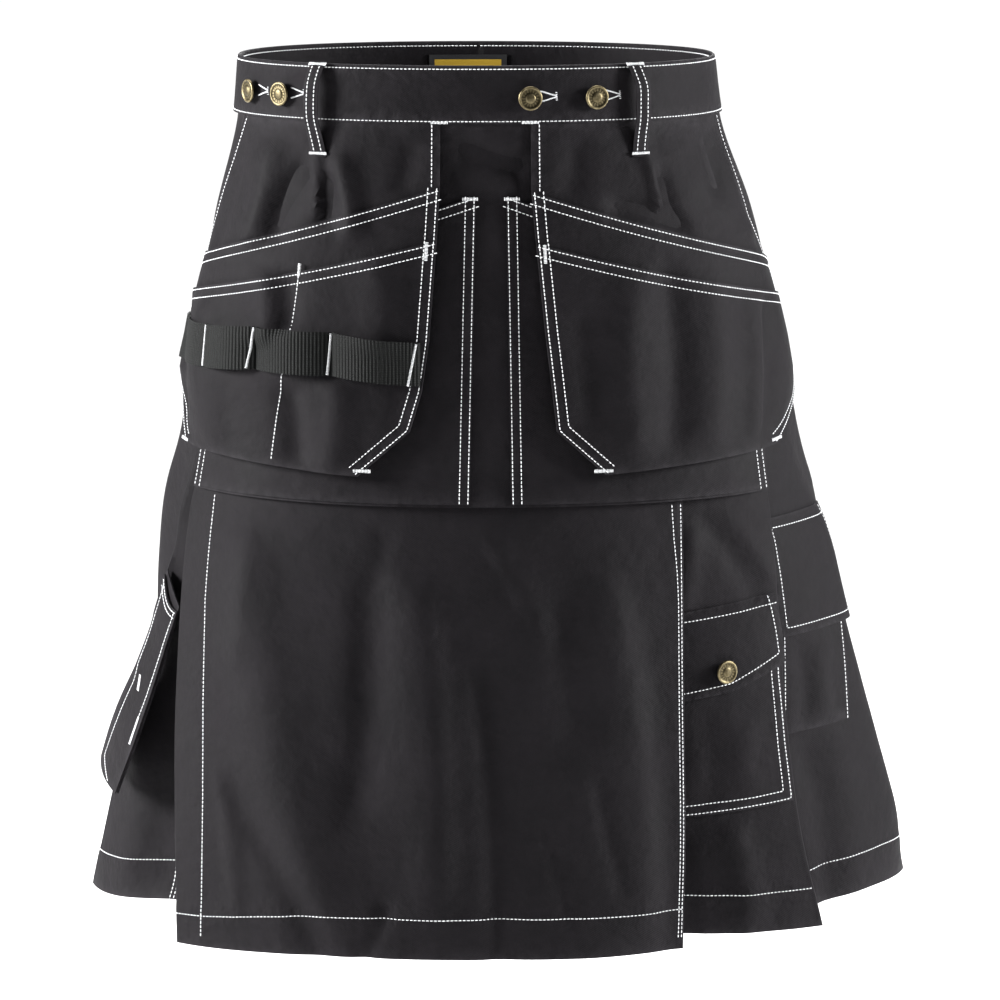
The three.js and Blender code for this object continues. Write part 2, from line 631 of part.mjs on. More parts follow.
function holsterRows(table, ply) {
  const rows = [];
  for (let row = ply.firstRow; row < table.length; row++) {
    const shares = Array.from({ length: HOLSTER_COLUMNS + 1 }, (_, j) => j / HOLSTER_COLUMNS);
    const places = shares.map((across) => holsterPlace(table, row, across, ply));
    rows.push(table[0].outer < 0 ? places.reverse() : places);
  }
  return rows;
}
function holster(side, table) {
  return HOLSTER_PLIES.map((ply) => {
    const wall = clothWall(holsterRows(table, ply), PLY);
    return pieceMesh(`${ply.name}_${side}`, wall);
  });
}

// The place on a holster's outer pocket at a girth and height, found by halving.
const HALVINGS = 30;
const FINDING_ROUNDS = 6;
function onHolster(table, girth, z) {
  const ply = HOLSTER_PLIES[2];
  const find = (low, high, tooFar) => {
    for (let i = 0; i < HALVINGS; i++) {
      const middle = (low + high) / 2;
      if (tooFar(middle)) high = middle;
      else low = middle;
    }
    return low;
  };
  let across = 0.5;
  let row = ply.firstRow;
  for (let round = 0; round < FINDING_ROUNDS; round++) {
    row = find(ply.firstRow, table.length - 1, (r) => holsterPlace(table, r, across, ply).z < z);
    across = find(0, 1, (a) => Math.abs(holsterPlace(table, row, a, ply).girth) > Math.abs(girth));
  }
  return holsterPlace(table, row, across, ply);
}

// The webbing strap: flat from the outer edge to the first tack, then bowed out between tacks
const STRAP_STEPS = 6;
function toolStrap() {
  const { lerp } = THREE.MathUtils;
  const last = STRAP_TACKS.length - 1;
  const place = (i, j, drop) => {
    const girth = lerp(STRAP_TACKS[i], STRAP_TACKS[i + 1], j / STRAP_STEPS);
    const bow = i === 0 ? 0 : STRAP_BULGE * Math.sin((Math.PI * j) / STRAP_STEPS) ** STRAP_ROUND;
    const along = (girth - STRAP_TACKS[0]) / (STRAP_TACKS[last] - STRAP_TACKS[0]);
    const z = lerp(STRAP_TOP_OUTER, STRAP_TOP_INNER, along) - drop;
    return { girth, z, out: onHolster(HOLSTER_LEFT, girth, z).out + STRAP_LIFT + bow };
  };
  const rows = [0, STRAP_HEIGHT].map((drop) => {
    const places = [place(0, 0, drop)];
    for (let i = 0; i < last; i++) for (let j = 1; j <= STRAP_STEPS; j++) places.push(place(i, j, drop));
    return places;
  });
  return pieceMesh("tool_strap", clothWall(rows, STRAP_PLY), "webbing");
}

// Belt loops: an upright strip, bowed out between its two tacked ends, at places { z, off } off the waistband
const LOOP_BOW = [
  { z: 4, off: LOOP_BULGE },
  { z: -14, off: LOOP_BULGE },
  { z: -30, off: 4.6 },
];
const LOOP_END = 3;
const LOOP_TOP_OFF = 1.2;
const LOOP_SHOULDER = { drop: 6, off: 5.4 };
const LOOP_FOOT_RISE = 0.6;
function beltLoop({ name, girth, drift, foot, top }) {
  const side = Math.sign(girth);
  const girthAt = (z) => girth + side * drift * (halfGirth(z, side) - halfGirth(0, side));
  const path = [
    { z: top, out: BAND_OUT + LOOP_TOP_OFF },
    { z: top - LOOP_SHOULDER.drop, out: BAND_OUT + LOOP_SHOULDER.off },
    ...LOOP_BOW.map(({ z, off }) => ({ z, out: BAND_OUT + off })),
    { z: LOOP_FOOT_Z + LOOP_END, out: foot + LOOP_FOOT_RISE },
    { z: LOOP_FOOT_Z - LOOP_END, out: foot },
  ];
  const laid = (inset) =>
    path.map((place, i) => {
      const before = path[Math.max(i - 1, 0)];
      const after = path[Math.min(i + 1, path.length - 1)];
      const fall = before.z - after.z;
      const rise = after.out - before.out;
      const length = Math.hypot(fall, rise);
      const z = place.z + (inset * rise) / length;
      const out = place.out + (inset * fall) / length;
      return [-0.5, 0, 0.5].map((across) => flatAcross(girthAt(z), across * LOOP_WIDTH, z, out));
    });
  return pieceMesh(`belt_loop_${name}`, closedWall(laid(LOOP_PLY / 2), laid(-LOOP_PLY / 2), false));
}

// A point beside a girth on the ring's tangent plane there, so that a stiff strip stays flat across.
function flatAcross(girth, aside, z, out) {
  const here = onRing(girth, z, out);
  const inward = onRing(girth, z, 0);
  const normal = here.clone().sub(inward).normalize();
  const tangent = new THREE.Vector3(-normal.y, normal.x, 0);
  return here.addScaledVector(tangent, aside);
}

// A shank button: a domed cap with a raised rim, on a short post
const POST_RADIUS = 3.2;
function button(name, girth, z, out) {
  const capBack = 3;
  const profile = [
    [0, 0],
    [POST_RADIUS, 0],
    [POST_RADIUS, capBack],
    [BUTTON_RADIUS - 0.6, capBack],
    [BUTTON_RADIUS, capBack + 0.7],
    [BUTTON_RADIUS - 0.3, capBack + 1.8],
    [BUTTON_RADIUS - 1.6, capBack + 2.1],
    [BUTTON_RADIUS - 2.6, capBack + 1.5],
    [3.4, capBack + 1.7],
    [2.8, capBack + 2.3],
    [0, capBack + 2.5],
  ].map(([radius, height]) => new THREE.Vector2(radius, height));
  const geometry = new THREE.LatheGeometry(profile, 16);
  const mesh = pieceMesh(name, geometry, "brass");
  const seat = onRing(girth, z, out);
  const normal = onRing(girth, z, out + 10).sub(seat).normalize();
  mesh.position.copy(seat);
  mesh.quaternion.setFromUnitVectors(new THREE.Vector3(0, 1, 0), normal);
  return mesh;
}

// A pocket's ply on a body panel, made from that panel's own lie; drop gives how much lower a row hangs
const SLACK_ROUND = 0.6;
function pocketPly(name, table, outAt, columns, drop = () => 0) {
  const rows = table.map((row) =>
    Array.from({ length: columns + 1 }, (_, j) => {
      const across = j / columns;
      const girth = THREE.MathUtils.lerp(row.front, row.rear, across);
      const z = THREE.MathUtils.lerp(row.frontZ, row.rearZ, across) - drop(girth, row);
      const slack = row.slack * Math.max(Math.sin(Math.PI * across), 0) ** SLACK_ROUND;
      return { girth, z, out: outAt(girth, z) + row.lifts * LAYER + slack };
    }),
  );
  return pieceMesh(name, clothWall(rows, PLY));
}

function cargoPocket() {
  const foot = CARGO_FLAP[CARGO_FLAP.length - 1];
  const { girth: tip, drop, reach } = CARGO_FLAP_POINT;
  const point = (girth, row) => (row === foot ? drop * Math.max(0, 1 - Math.abs(girth - tip) / reach) : 0);
  const { girth, z } = CARGO_BUTTON;
  const buttonOut = sideRightOut(girth, z) + foot.lifts * LAYER + foot.slack + PLY;
  return [
    pocketPly("cargo_pocket", CARGO_BAG, sideRightOut, 9),
    pocketPly("cargo_flap", CARGO_FLAP, sideRightOut, 9, point),
    button("button_cargo_flap", girth, z, buttonOut),
  ];
}

function phonePocket() {
  return [
    pocketPly("phone_pocket", PHONE_BAG, rearRightOut, 8),
    pocketPly("phone_flap", PHONE_FLAP, rearRightOut, 8),
  ];
}

// The ruler pocket: two plies joined only by sewing, the front one cut lower in a curve at its mouth
const RULER_COLUMNS = 4;
function rulerPly(name, lift, mouth) {
  const { lerp } = THREE.MathUtils;
  const rows = RULER.map((row, i) =>
    Array.from({ length: RULER_COLUMNS + 1 }, (_, j) => {
      const across = j / RULER_COLUMNS;
      const bow = Math.sin(Math.PI * across);
      return {
        girth: lerp(row.rear, row.front, across),
        z: lerp(row.rearZ, row.frontZ, across) - (i === 0 ? mouth * (0.6 + bow) : 0),
        out: lerp(row.rearOut, row.frontOut, across) + lift * (1 + 0.5 * bow),
      };
    }),
  );
  return pieceMesh(name, clothWall(rows, RULER_PLY));
}

// The plain label inside the back of the waistband, a little to one side of the back centre
const LABEL_HEIGHTS = [10, 0, -16];
const LABEL_SHARES = [0.5, 0.25, 0, -0.25, -0.5];
function label() {
  const spot = (share, z, inset) => {
    const across = share * LABEL_WIDTH - LABEL_ASIDE;
    const side = across < 0 ? -1 : 1;
    const girth = side * (halfGirth(z, side) - Math.abs(across));
    return onRing(girth, z, atHeight(BAND_BACK, "out", z) - inset);
  };
  const laid = (inset) => LABEL_HEIGHTS.map((z) => LABEL_SHARES.map((share) => spot(share, z, inset)));
  return pieceMesh("label", closedWall(laid(SEAM_GAP), laid(SEAM_GAP + LABEL_PLY), false), "label");
}

const kilt = new THREE.Group();
kilt.add(
  waistband(),
  ...bodyPanels(),
  toolApron(),
  ...PATCHES.map(patchPocket),
  ...holster("left", HOLSTER_LEFT),
  ...holster("right", HOLSTER_RIGHT),
  toolStrap(),
  ...BELT_LOOPS.map(beltLoop),
  ...BAND_BUTTONS.map(({ name, girth }) => button(`button_${name}`, girth, BUTTON_Z, BAND_OUT + SEAM_GAP)),
  ...cargoPocket(),
  ...phonePocket(),
  rulerPly("ruler_pocket_back", 0, 0),
  rulerPly("ruler_pocket_front", RULER_LIFT, RULER_MOUTH),
  label(),
);

export default kilt;
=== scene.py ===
"""A utility kilt as it sits on its wearer: heavy near-black twill sewn with pale thread, hollow and
hanging.

Lengths in the tables are millimetres. A place on the cloth is a girth, the length along the body ring
from the front centre, positive towards +X, and a height z, 0 at the middle of the waistband. "out" is how
far a layer lies outside the ring. Every piece is built from how it lies, as out for each girth and height,
so pieces that rest on each other share their folds.
"""

import math

import bpy
import numpy as np
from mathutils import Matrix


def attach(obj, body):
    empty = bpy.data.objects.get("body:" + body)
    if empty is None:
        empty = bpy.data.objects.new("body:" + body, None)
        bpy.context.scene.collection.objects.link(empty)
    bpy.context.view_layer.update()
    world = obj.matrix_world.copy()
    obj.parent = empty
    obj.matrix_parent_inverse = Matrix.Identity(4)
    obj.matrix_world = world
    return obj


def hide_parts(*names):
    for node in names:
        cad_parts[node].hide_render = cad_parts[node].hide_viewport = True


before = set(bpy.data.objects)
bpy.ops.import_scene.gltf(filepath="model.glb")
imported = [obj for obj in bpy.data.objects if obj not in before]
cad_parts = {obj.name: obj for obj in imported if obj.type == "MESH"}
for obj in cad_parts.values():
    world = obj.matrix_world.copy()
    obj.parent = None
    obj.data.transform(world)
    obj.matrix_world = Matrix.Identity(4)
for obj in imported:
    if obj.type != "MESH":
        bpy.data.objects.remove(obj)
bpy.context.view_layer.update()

MM = 0.001

# Sizes of the garment
BAND_BOTTOM = -20
HEM = -594
SEAM_GAP = 0.3
PLY = 0.9
LAYER = 1.6
FRONT_OUT = 0.5
TOOL_APRON_OUT = 2.1
BAND_OUT = 4.6
HEM_TURNED = 27
HEM_NARROWS = -100
HEM_NARROWING = 130
HEM_THICKER = 0.5
HEM_STEP = 5
STITCH_PITCH = 2.8
THREAD_RADIUS = 0.5
CLOTH_TICK = 4.6
HIDDEN_TICK = 6.5


class Table:
    """Rows of named columns, read smoothly between the rows by height z or by row number."""

    def __init__(self, columns, *rows):
        names = columns.split()
        self.values = {name: np.array([row[i] for row in rows], float) for i, name in enumerate(names)}
        self.by_height = "z" in self.values
        self.key = -self.values["z"] if self.by_height else np.arange(len(rows), dtype=float)

    def place_of(self, where):
        where = np.asarray(where, float)
        return np.clip(-where if self.by_height else where, self.key[0], self.key[-1])

    def straight(self, column, where):
        return np.interp(self.place_of(where), self.key, self.values[column])

    def at(self, column, where):
        """A cubic through the rows that never swings past them."""
        here, values, steps = self.place_of(where), self.values[column], np.diff(self.key)
        slopes = np.diff(values) / steps
        product, total = slopes[:-1] * slopes[1:], slopes[:-1] + slopes[1:]
        inner = np.where(product > 0, 2 * product / np.where(total == 0, 1, total), 0)
        tangents = np.concatenate([slopes[:1], inner, slopes[-1:]])
        i = np.clip(np.searchsorted(self.key, here, side="right") - 1, 0, len(steps) - 1)
        t = (here - self.key[i]) / steps[i]
        level = values[i] * (1 + 2 * t) * (1 - t) ** 2 + values[i + 1] * t * t * (3 - 2 * t)
        return level + steps[i] * t * (1 - t) * (tangents[i] * (1 - t) - tangents[i + 1] * t)


ROUNDNESS = 2.2
SECTIONS = Table(
    "z left right front back",
    (20, 168, 166, 128, 128),
    (-20, 171, 171, 130, 131),
    (-90, 186, 196, 140, 152),
    (-200, 204, 219, 157, 177),
    (-250, 210.5, 228, 165, 183),
    (-300, 224, 241, 174, 190),
    (-360, 236, 254, 184, 199),
    (-440, 252, 275, 200, 210),
    (-590, 284, 316, 229, 236),
)
APRON_FOLD = Table(
    "z fold recess under",
    (-20, -150, 3.2, 8),
    (-125, -190, 3.4, 10),
    (-255, -222, 6, 14),
    (-295, -236, 12, 18),
    (-362, -240, 25, 22),
    (-430, -239, 38, 26),
    (-510, -233, 52, 30),
    (-590, -226, 65, 30),
)
SIDE_LEFT_FOLD = Table(
    "z fold recess under",
    (-20, -178, 3.2, 8),
    (-125, -226, 3.4, 10),
    (-255, -238, 8, 14),
    (-295, -252, 14, 18),
    (-350, -276, 22, 22),
    (-430, -325, 28, 26),
    (-510, -366, 28, 28),
    (-590, -400, 25, 30),
)
REAR_LEFT_FOLD = Table(
    "z fold recess under",
    (-20, -330, 3.2, 8),
    (-125, -378, 3.4, 10),
    (-255, -440, 8, 16),
    (-430, -528, 20, 26),
    (-590, -612, 30, 30),
)
SIDE_RIGHT_FOLD = Table(
    "z fold recess under",
    (-20, 178, 3.2, 8),
    (-125, 206, 3.4, 10),
    (-255, 222, 8, 14),
    (-295, 228, 14, 18),
    (-350, 232, 20, 20),
    (-430, 240, 30, 24),
    (-510, 254, 40, 28),
    (-590, 276, 50, 30),
)
REAR_RIGHT_FOLD = Table(
    "z fold recess under",
    (-20, 330, 3.2, 8),
    (-125, 388, 3.4, 10),
    (-255, 458, 8, 16),
    (-430, 560, 20, 26),
    (-590, 652, 30, 30),
)
WRAP_EDGE = Table(
    "z fold recess beneath",
    (-20, 147, 3.2, 70),
    (-255, 148, 4, 76),
    (-350, 149, 11, 80),
    (-430, 149.5, 22, 84),
    (-510, 150.5, 34, 88),
    (-590, 148.5, 44, 90),
)
SIDE_SEAMS = Table(
    "z left right out",
    (-20, -188, 206, 3.5),
    (-90, -229, 226, 3.3),
    (-121, -254, 254.5, 1.7),
)
SEAM_FOOT = -121
SEAM_END = -124.5
SEAM_ROWS = 9
REAR_PAST_SEAM = 1.2
LAP_PAST = 6

# The holsters from the waistband down: girth and height at the outer and inner edge, how far out the
# middle and the outer edge lie
HOLSTER_LEFT = Table(
    "outer outerZ inner innerZ out edge",
    (-188, -20, -25, -20, 3.7, 3.7),
    (-229, -90, -25, -48, 5.8, 3.5),
    (-256, -124, -25, -63, 7, 3.4),
    (-272, -150, -27, -99, 8, 4.2),
    (-277, -180, -32, -167, 9, 4.6),
    (-286, -202, -37, -202, 9.6, 5.4),
    (-257, -222, -45, -229, 10, 6),
    (-230, -250, -80, -260, 11, 10),
)
HOLSTER_RIGHT = Table(
    "outer outerZ inner innerZ out edge",
    (206, -20, 37, -20, 3.7, 3.7),
    (226, -90, 37, -50, 5.8, 3.5),
    (256.5, -124, 37, -66, 7, 3.4),
    (272, -151, 40, -101, 8, 4.2),
    (282, -180, 46, -160, 9, 5),
    (284, -202, 50, -194, 9.6, 5.4),
    (272, -219, 54, -229, 10, 6),
    (224, -249, 87, -259, 11, 10),
)
HOLSTERS = {"left": HOLSTER_LEFT, "right": HOLSTER_RIGHT}
HOLSTER_ROWS = 7
HOLSTER_SAG = (0.25, 0.95)
HOLSTER_FREE = (-24, 16)
CREASES_FADE = dict(least=0.4, inner=6, outer=8)
POCKET_FULLNESS = 0.6
EDGE_DROP = 0.82
MOUTH_DIP = 4

TOOL_APRON_EDGES = Table(
    "z left right out",
    (-20, -172, 172, TOOL_APRON_OUT),
    (-60, -183, 183, 2.5),
    (-90, -193, 193, 2.7),
    (-130, -206, 206, 3),
    (-200, -218, 218, 3.4),
    (-250, -222, 221, 4),
    (-281, -226, 222, 4.6),
)
TOOL_APRON_FOOT = -281
TOOL_APRON_FREE = (-22, 12)
PATCHES = {
    "left": dict(inner=-0.5, inner_foot=-4.8, outer=-208, outer_foot=-223),
    "right": dict(inner=20, inner_foot=23.5, outer=208, outer_foot=219),
}
PATCH_MOUTH = -69
PATCH_MOUTH_OUTER = -137
PATCH_FOOT = -279

STRAP_TACKS = (-274, -193, -150, -96, -37.5)
STRAP_TOPS = (-166, -163.5, -161, -162, -168)
STRAP_HEIGHT = 29.5
STRAP_LIFT = LAYER + 0.2
STRAP_BULGE = 8.5
STRAP_ROUND = 0.75
STRAP_LEANS = (0, 1, 5, 2, 5)

# Belt loops: drift is the share of the ring's growth that each follows downwards, bow and lean are how far
# its middle and its top stand aside
BELT_LOOPS = (
    # name, girth, drift, foot's out, top, bow, lean
    ("front_left", -110.5, 0, 6.6, 21.5, -2.6, 0),
    ("front_right", 114, 0, 6.6, 21.5, -0.6, -4),
    ("side_left", -296, 0.5, 2, 18.5, 1.2, 0),
    ("side_right", 296, 0.5, 2, 18.5, -1, 0.8),
    ("back_left", -396, 1, 2, 18.5, 0.8, -0.6),
    ("back_right", 396, 1, 2, 18.5, 1, 0),
    ("back_centre", 479, 1, 2, 18.5, -0.8, 0.6),
)
LOOP_WIDTH = 11.5
LOOP_PLY = 1.0
LOOP_BULGE = 8.4
LOOP_FOOT = -41
LOOP_END = LOOP_FOOT - 3
LOOP_CROWN = 0.5
LOOP_SETBACK = 0.3
LOOP_EDGE_REACH = 1.5
LOOP_PUCKER = 0.4
LOOP_ROWS = (-2.9, 2.9)
LOOP_GRID = (26, 9)
LOOP_FACE = 0.6
LOOP_LEAN_REACH = 0.35
LOOP_TACK_REACH = LOOP_WIDTH / 2 + 0.8

BAND_BUTTONS = {"left_outer": -176, "left_inner": -142, "right_inner": 36, "right_outer": 81.5}
BUTTON_Z = -2.2
CARGO_BUTTON = (184.5, -403)

# Pockets on the body panels, from the top down: girth and height of the front and rear edge, layers off
# the panel, and how far the middle hangs slack
CARGO_BAG = Table(
    "front frontZ rear rearZ lifts slack",
    (112, -374, 229, -363, 1, 0),
    (112, -420, 233, -410, 1, 2),
    (112, -470, 240, -458, 1, 2.6),
    (112, -511, 248, -499, 1, 0.6),
)
CARGO_FLAP = Table(
    "front frontZ rear rearZ lifts slack",
    (112, -366, 227, -353, 0.9, 0),
    (112, -372, 228, -360, 2, 0.2),
    (112, -398, 232, -377, 2.1, 1.6),
    (112, -431, 236, -398, 2.2, 2.6),
)
CARGO_POINT = dict(girth=192, drop=8, reach=70)
PHONE_BAG = Table(
    "front frontZ rear rearZ lifts slack",
    (248, -326, 308, -322, 1, 0),
    (258, -392, 320, -388, 1, 1.4),
    (266, -460, 331, -456, 1, 0.4),
)
PHONE_FLAP = Table(
    "front frontZ rear rearZ lifts slack",
    (234, -305, 311, -302, 0.9, 0),
    (239, -322, 315, -318, 2, 0.2),
    (245, -346, 322, -342, 2.1, 1),
    (255, -390, 333, -385, 2.2, 2),
)
RULER = Table(
    "rear rearZ rearOut front frontZ frontOut",
    (-270, -346, -0.6, -245, -368, -2),
    (-285, -383, 0.5, -256, -400, 0),
    (-300, -417, 5, -268, -434, 3),
    (-330, -455, 10, -281, -467, 6),
    (-364, -493, 12, -303, -506, 8),
)
RULER_PLY = 1.2
RULER_LIFT = 1.8

BAND_FACE = Table("z out", (20, 3.6), (19, 4.3), (0, 4.5), (-20, 4.6))
BAND_BACK = Table("z out", (20, 2.2), (19, 1.6), (0, 0.4), (-20, -1.2))


def ease(share):
    share = np.clip(share, 0, 1)
    return share * share * (3 - 2 * share)


def mix(a, b, share):
    return a + (b - a) * share


# The body ring, sampled once and read by girth and height
RING_TOP = 30
RING_STEP = 5
RING_ROWS = 130
GIRTH_STEP = 2
GIRTH_COUNT = 1000
RING_ANGLES = np.linspace(0, np.pi, 721)


def half_outline(z, side):
    """One half of the ring from the front centre to the back centre, and the length along it."""
    across = SECTIONS.at("right" if side > 0 else "left", z)
    sine, cosine = np.abs(np.sin(RING_ANGLES)), np.cos(RING_ANGLES)
    depth = np.where(cosine >= 0, -SECTIONS.at("front", z), SECTIONS.at("back", z))
    x = across * sine ** (2 / ROUNDNESS)
    y = depth * np.abs(cosine) ** (2 / ROUNDNESS)
    length = np.concatenate([[0], np.cumsum(np.hypot(np.diff(x), np.diff(y)))])
    return x, y, length


def sampled_ring():
    girths = np.arange(-GIRTH_COUNT, GIRTH_COUNT + 1) * GIRTH_STEP
    points, halves = [], []
    for z in RING_TOP - RING_STEP * np.arange(RING_ROWS):
        right_x, right_y, right = half_outline(z, 1)
        left_x, left_y, left = half_outline(z, -1)
        whole = right[-1] + left[-1]
        length = np.concatenate([right, whole - left[::-1][1:]])
        here = np.mod(girths, whole)
        x = np.interp(here, length, np.concatenate([right_x, -left_x[::-1][1:]]))
        y = np.interp(here, length, np.concatenate([right_y, left_y[::-1][1:]]))
        points.append(np.stack([x, y], axis=-1))
        halves.append((right[-1], left[-1]))
    return np.array(points), np.array(halves)


RING, HALVES = sampled_ring()


def half_girth(z, side):
    """The length from the front centre round to the back centre."""
    rows = np.arange(RING_ROWS)
    return np.interp((RING_TOP - np.asarray(z, float)) / RING_STEP, rows, HALVES[:, 0 if side > 0 else 1])


def place(girth, z, out):
    """The points at these girths and heights, moved out of the ring along its level normal."""
    girth, z, out = np.broadcast_arrays(*(np.asarray(value, float) for value in (girth, z, out)))
    column = np.clip(girth / GIRTH_STEP + GIRTH_COUNT, 0, 2 * GIRTH_COUNT - 0.001)
    row = np.clip((RING_TOP - z) / RING_STEP, 0, RING_ROWS - 1.001)
    i, j = row.astype(int), column.astype(int)
    v, u = (row - i)[..., None], (column - j)[..., None]
    flat = mix(mix(RING[i, j], RING[i, j + 1], u), mix(RING[i + 1, j], RING[i + 1, j + 1], u), v)
    x, y = flat[..., 0], flat[..., 1]
    across = np.where(x >= 0, SECTIONS.at("right", z), SECTIONS.at("left", z))
    depth = np.where(y >= 0, SECTIONS.at("back", z), SECTIONS.at("front", z))
    normal_x = np.sign(x) * (np.abs(x) / across) ** (ROUNDNESS - 1) / across
    normal_y = np.sign(y) * (np.abs(y) / depth) ** (ROUNDNESS - 1) / depth
    size = np.hypot(normal_x, normal_y)
    return np.stack([x + normal_x / size * out, y + normal_y / size * out, z], axis=-1)


# Creases, each a soft ridge or trough from one place to another with a width of its own to either side
CREASES = {
    "apron": (
        # girth, z, to girth, to z, bow, width left, width right, height
        (-170, -305, -105, -578, -8, 30, 26, 6.5),
        (-76, -330, -86, -500, 5, 13, 17, -4.5),
        (-42, -330, -28, -560, 6, 24, 13, 6.5),
        (0, -390, 14, -594, 4, 9, 17, -4.5),
        (92, -330, 122, -594, 6, 30, 12, 4.5),
        (-184, -478, -108, -590, 6, 11, 14, -4.0),
        (5, -300, 46, -374, 3, 5, 9, 2.2),
        (-66, -290, -73, -340, 2, 7, 9, -1.6),
        (44, -496, 64, -566, 2, 6, 6, -1.8),
        (84, -466, 103, -548, -2, 6, 6, -2.0),
        (-60, -550, -82, -594, 2, 7, 6, -2.6),
        (-192, -474, -175, -564, 3, 5, 8, 1.8),
        (60, -330, 72, -450, -4, 12, 16, -2.4),
        (-168, -300, -176, -400, 3, 12, 9, 2.0),
    ),
    "side_right": (
        (160, -288, 216, -362, 4, 9, 12, -2.4),
        (176, -290, 228, -346, 3, 8, 9, 1.8),
        (158, -300, 150, -362, 2, 8, 10, 3.0),
        (196, -512, 214, -590, 5, 12, 14, 4.0),
        (160, -516, 168, -594, 3, 10, 10, -2.6),
    ),
    "side_left": (
        (-262, -310, -290, -470, 6, 12, 12, -3.6),
        (-262, -400, -304, -590, 0, 38, 24, -12.0),
        (-320, -440, -340, -580, 6, 16, 14, 4.0),
    ),
    "rear_right": (
        (262, -190, 330, -300, 6, 14, 16, 3.6),
        (300, -300, 420, -560, -12, 24, 28, 7.5),
        (292, -466, 330, -594, 8, 16, 16, -6.0),
        (262, -460, 284, -594, 4, 12, 12, 4.0),
        (480, -240, 540, -590, 10, 26, 20, 8.0),
        (420, -90, 440, -270, 6, 18, 16, -4.5),
        (400, -380, 470, -590, 8, 16, 22, -6.0),
    ),
    "rear_left": (
        (-300, -180, -350, -420, 8, 16, 20, 5.0),
        (-390, -220, -450, -590, -12, 26, 20, 8.5),
        (-330, -100, -345, -260, 4, 14, 16, -4.5),
        (-470, -360, -530, -594, 8, 20, 16, -6.5),
        (-430, -120, -470, -300, -6, 18, 16, 4.0),
    ),
    "back": (
        (500, -120, 560, -590, 10, 26, 20, 8.0),
        (640, -260, 712, -594, -10, 28, 22, 9.0),
        (585, -330, 640, -594, 6, 14, 20, -6.0),
        (455, -60, 470, -210, 5, 14, 14, -4.0),
        (-500, -150, -590, -594, 12, 22, 26, 8.5),
        (-590, -320, -690, -594, -10, 22, 18, -7.0),
        (-640, -420, -740, -594, 8, 18, 24, 6.0),
        (-450, -50, -462, -240, -4, 14, 12, 4.0),
    ),
    "tool_apron": (
        (-14, -34, 34, -50, -4, 7, 9, -3.4),
        (-12, -26, 30, -35, 3, 6, 7, 2.2),
        (-4, -54, 26, -62, 2, 5, 6, 1.8),
        (-60, -262, 70, -268, 4, 8, 8, -1.2),
        (110, -262, 190, -270, 3, 8, 8, 1.4),
    ),
    "holster_left": (
        (-105, -56, -106, -90, 1, 6, 7, -5.5),
        (-113, -40, -111, -86, 1, 3.5, 3.5, 3.6),
        (-98, -42, -84, -98, 3, 7, 9, 6.0),
        (-121, -50, -148, -102, -4, 6, 11, -5.0),
        (-150, -36, -168, -106, 4, 14, 11, 6.5),
        (-192, -46, -216, -114, 4, 12, 12, -3.4),
        (-46, -30, -52, -68, 3, 9, 9, -2.6),
        (-148, -124, -142, -172, 3, 12, 6, 4.8),
        (-130, -124, -128, -164, 1, 6, 8, -3.4),
        (-66, -110, -60, -172, 4, 19, 10, 4.8),
        (-92, -196, -98, -258, 3, 12, 12, 4.4),
        (-127, -200, -122, -254, 2, 10, 8, -4.4),
        (-52, -176, -51, -228, 2, 8, 8, -3.0),
        (-200, -146, -190, -246, -5, 20, 16, 5.4),
        (-250, -156, -240, -238, 4, 10, 12, -3.6),
    ),
    "holster_right": (
        (117, -40, 129, -84, 2, 5, 3.5, 4.2),
        (128, -56, 136, -92, 1, 4, 7, -4.6),
        (124, -34, 150, -23, 1, 5, 5, -2.8),
        (90, -76, 152, -96, 3, 7, 7, -5.0),
        (175, -28, 184, -76, 2, 10, 10, -3.8),
        (206, -46, 218, -108, 3, 12, 12, 3.6),
        (66, -28, 62, -70, 3, 10, 10, -2.6),
        (104, -126, 108, -250, -4, 14, 13, 4.2),
        (130, -116, 134, -244, 2, 10, 11, -4.0),
        (164, -128, 161, -244, 3, 18, 13, 4.2),
        (200, -146, 198, -238, 2, 8, 8, 3.4),
        (221, -146, 214, -244, -3, 8, 9, -4.2),
        (66, -150, 74, -226, 2, 10, 9, -3.0),
    ),
    "cargo": (
        (150, -440, 140, -500, 4, 10, 12, -2.0),
        (205, -440, 215, -495, -4, 12, 10, 1.8),
        (172, -430, 182, -500, 3, 9, 9, -1.4),
    ),
    "phone": (
        (276, -396, 286, -456, 3, 9, 8, -2.4),
        (300, -396, 306, -452, -3, 8, 9, 2.0),
    ),
}


CREASE_END = 18
CREASE_MARGIN = 0.08
CREASE_FULLNESS = 1.6


def creased(name, girth, z):
    """The height that this piece's creases add at each girth and height."""
    total = 0
    for start, top, end, foot, bow, left, right, height in CREASES[name]:
        along = np.array([end - start, foot - top], float)
        length = np.hypot(*along)
        along /= length
        share = ((girth - start) * along[0] + (z - top) * along[1]) / length
        inside = np.clip(share, 0, 1)
        aside = (z - top) * along[0] - (girth - start) * along[1] - bow * 4 * inside * (1 - inside)
        width = np.where(aside < 0, left, right)
        past = (share - inside) * length
        lengthwise = np.clip(mix(CREASE_MARGIN, 1 - CREASE_MARGIN, share), 0, 1)
        taper = ease(CREASE_FULLNESS * np.sin(np.pi * lengthwise))
        total = total + height * taper * np.exp(-((aside / width) ** 2) - (past / CREASE_END) ** 2)
    return total


# How each piece lies
RAMP_TOP = 24
RAMP_FOOT = 160
RAMP_WIDENING = 1.5
RAMP_POWER = 1.2
RAMP_LEAST = 12
SEAM_EASE = 42
APRON_SINKS = dict(by=11, start=70, width=75)
WRAP_SINKS = dict(by=9, start=-300, fall=290)
FLUTE = dict(height=5, start=-140, fall=450, pitch=150, ease=30)
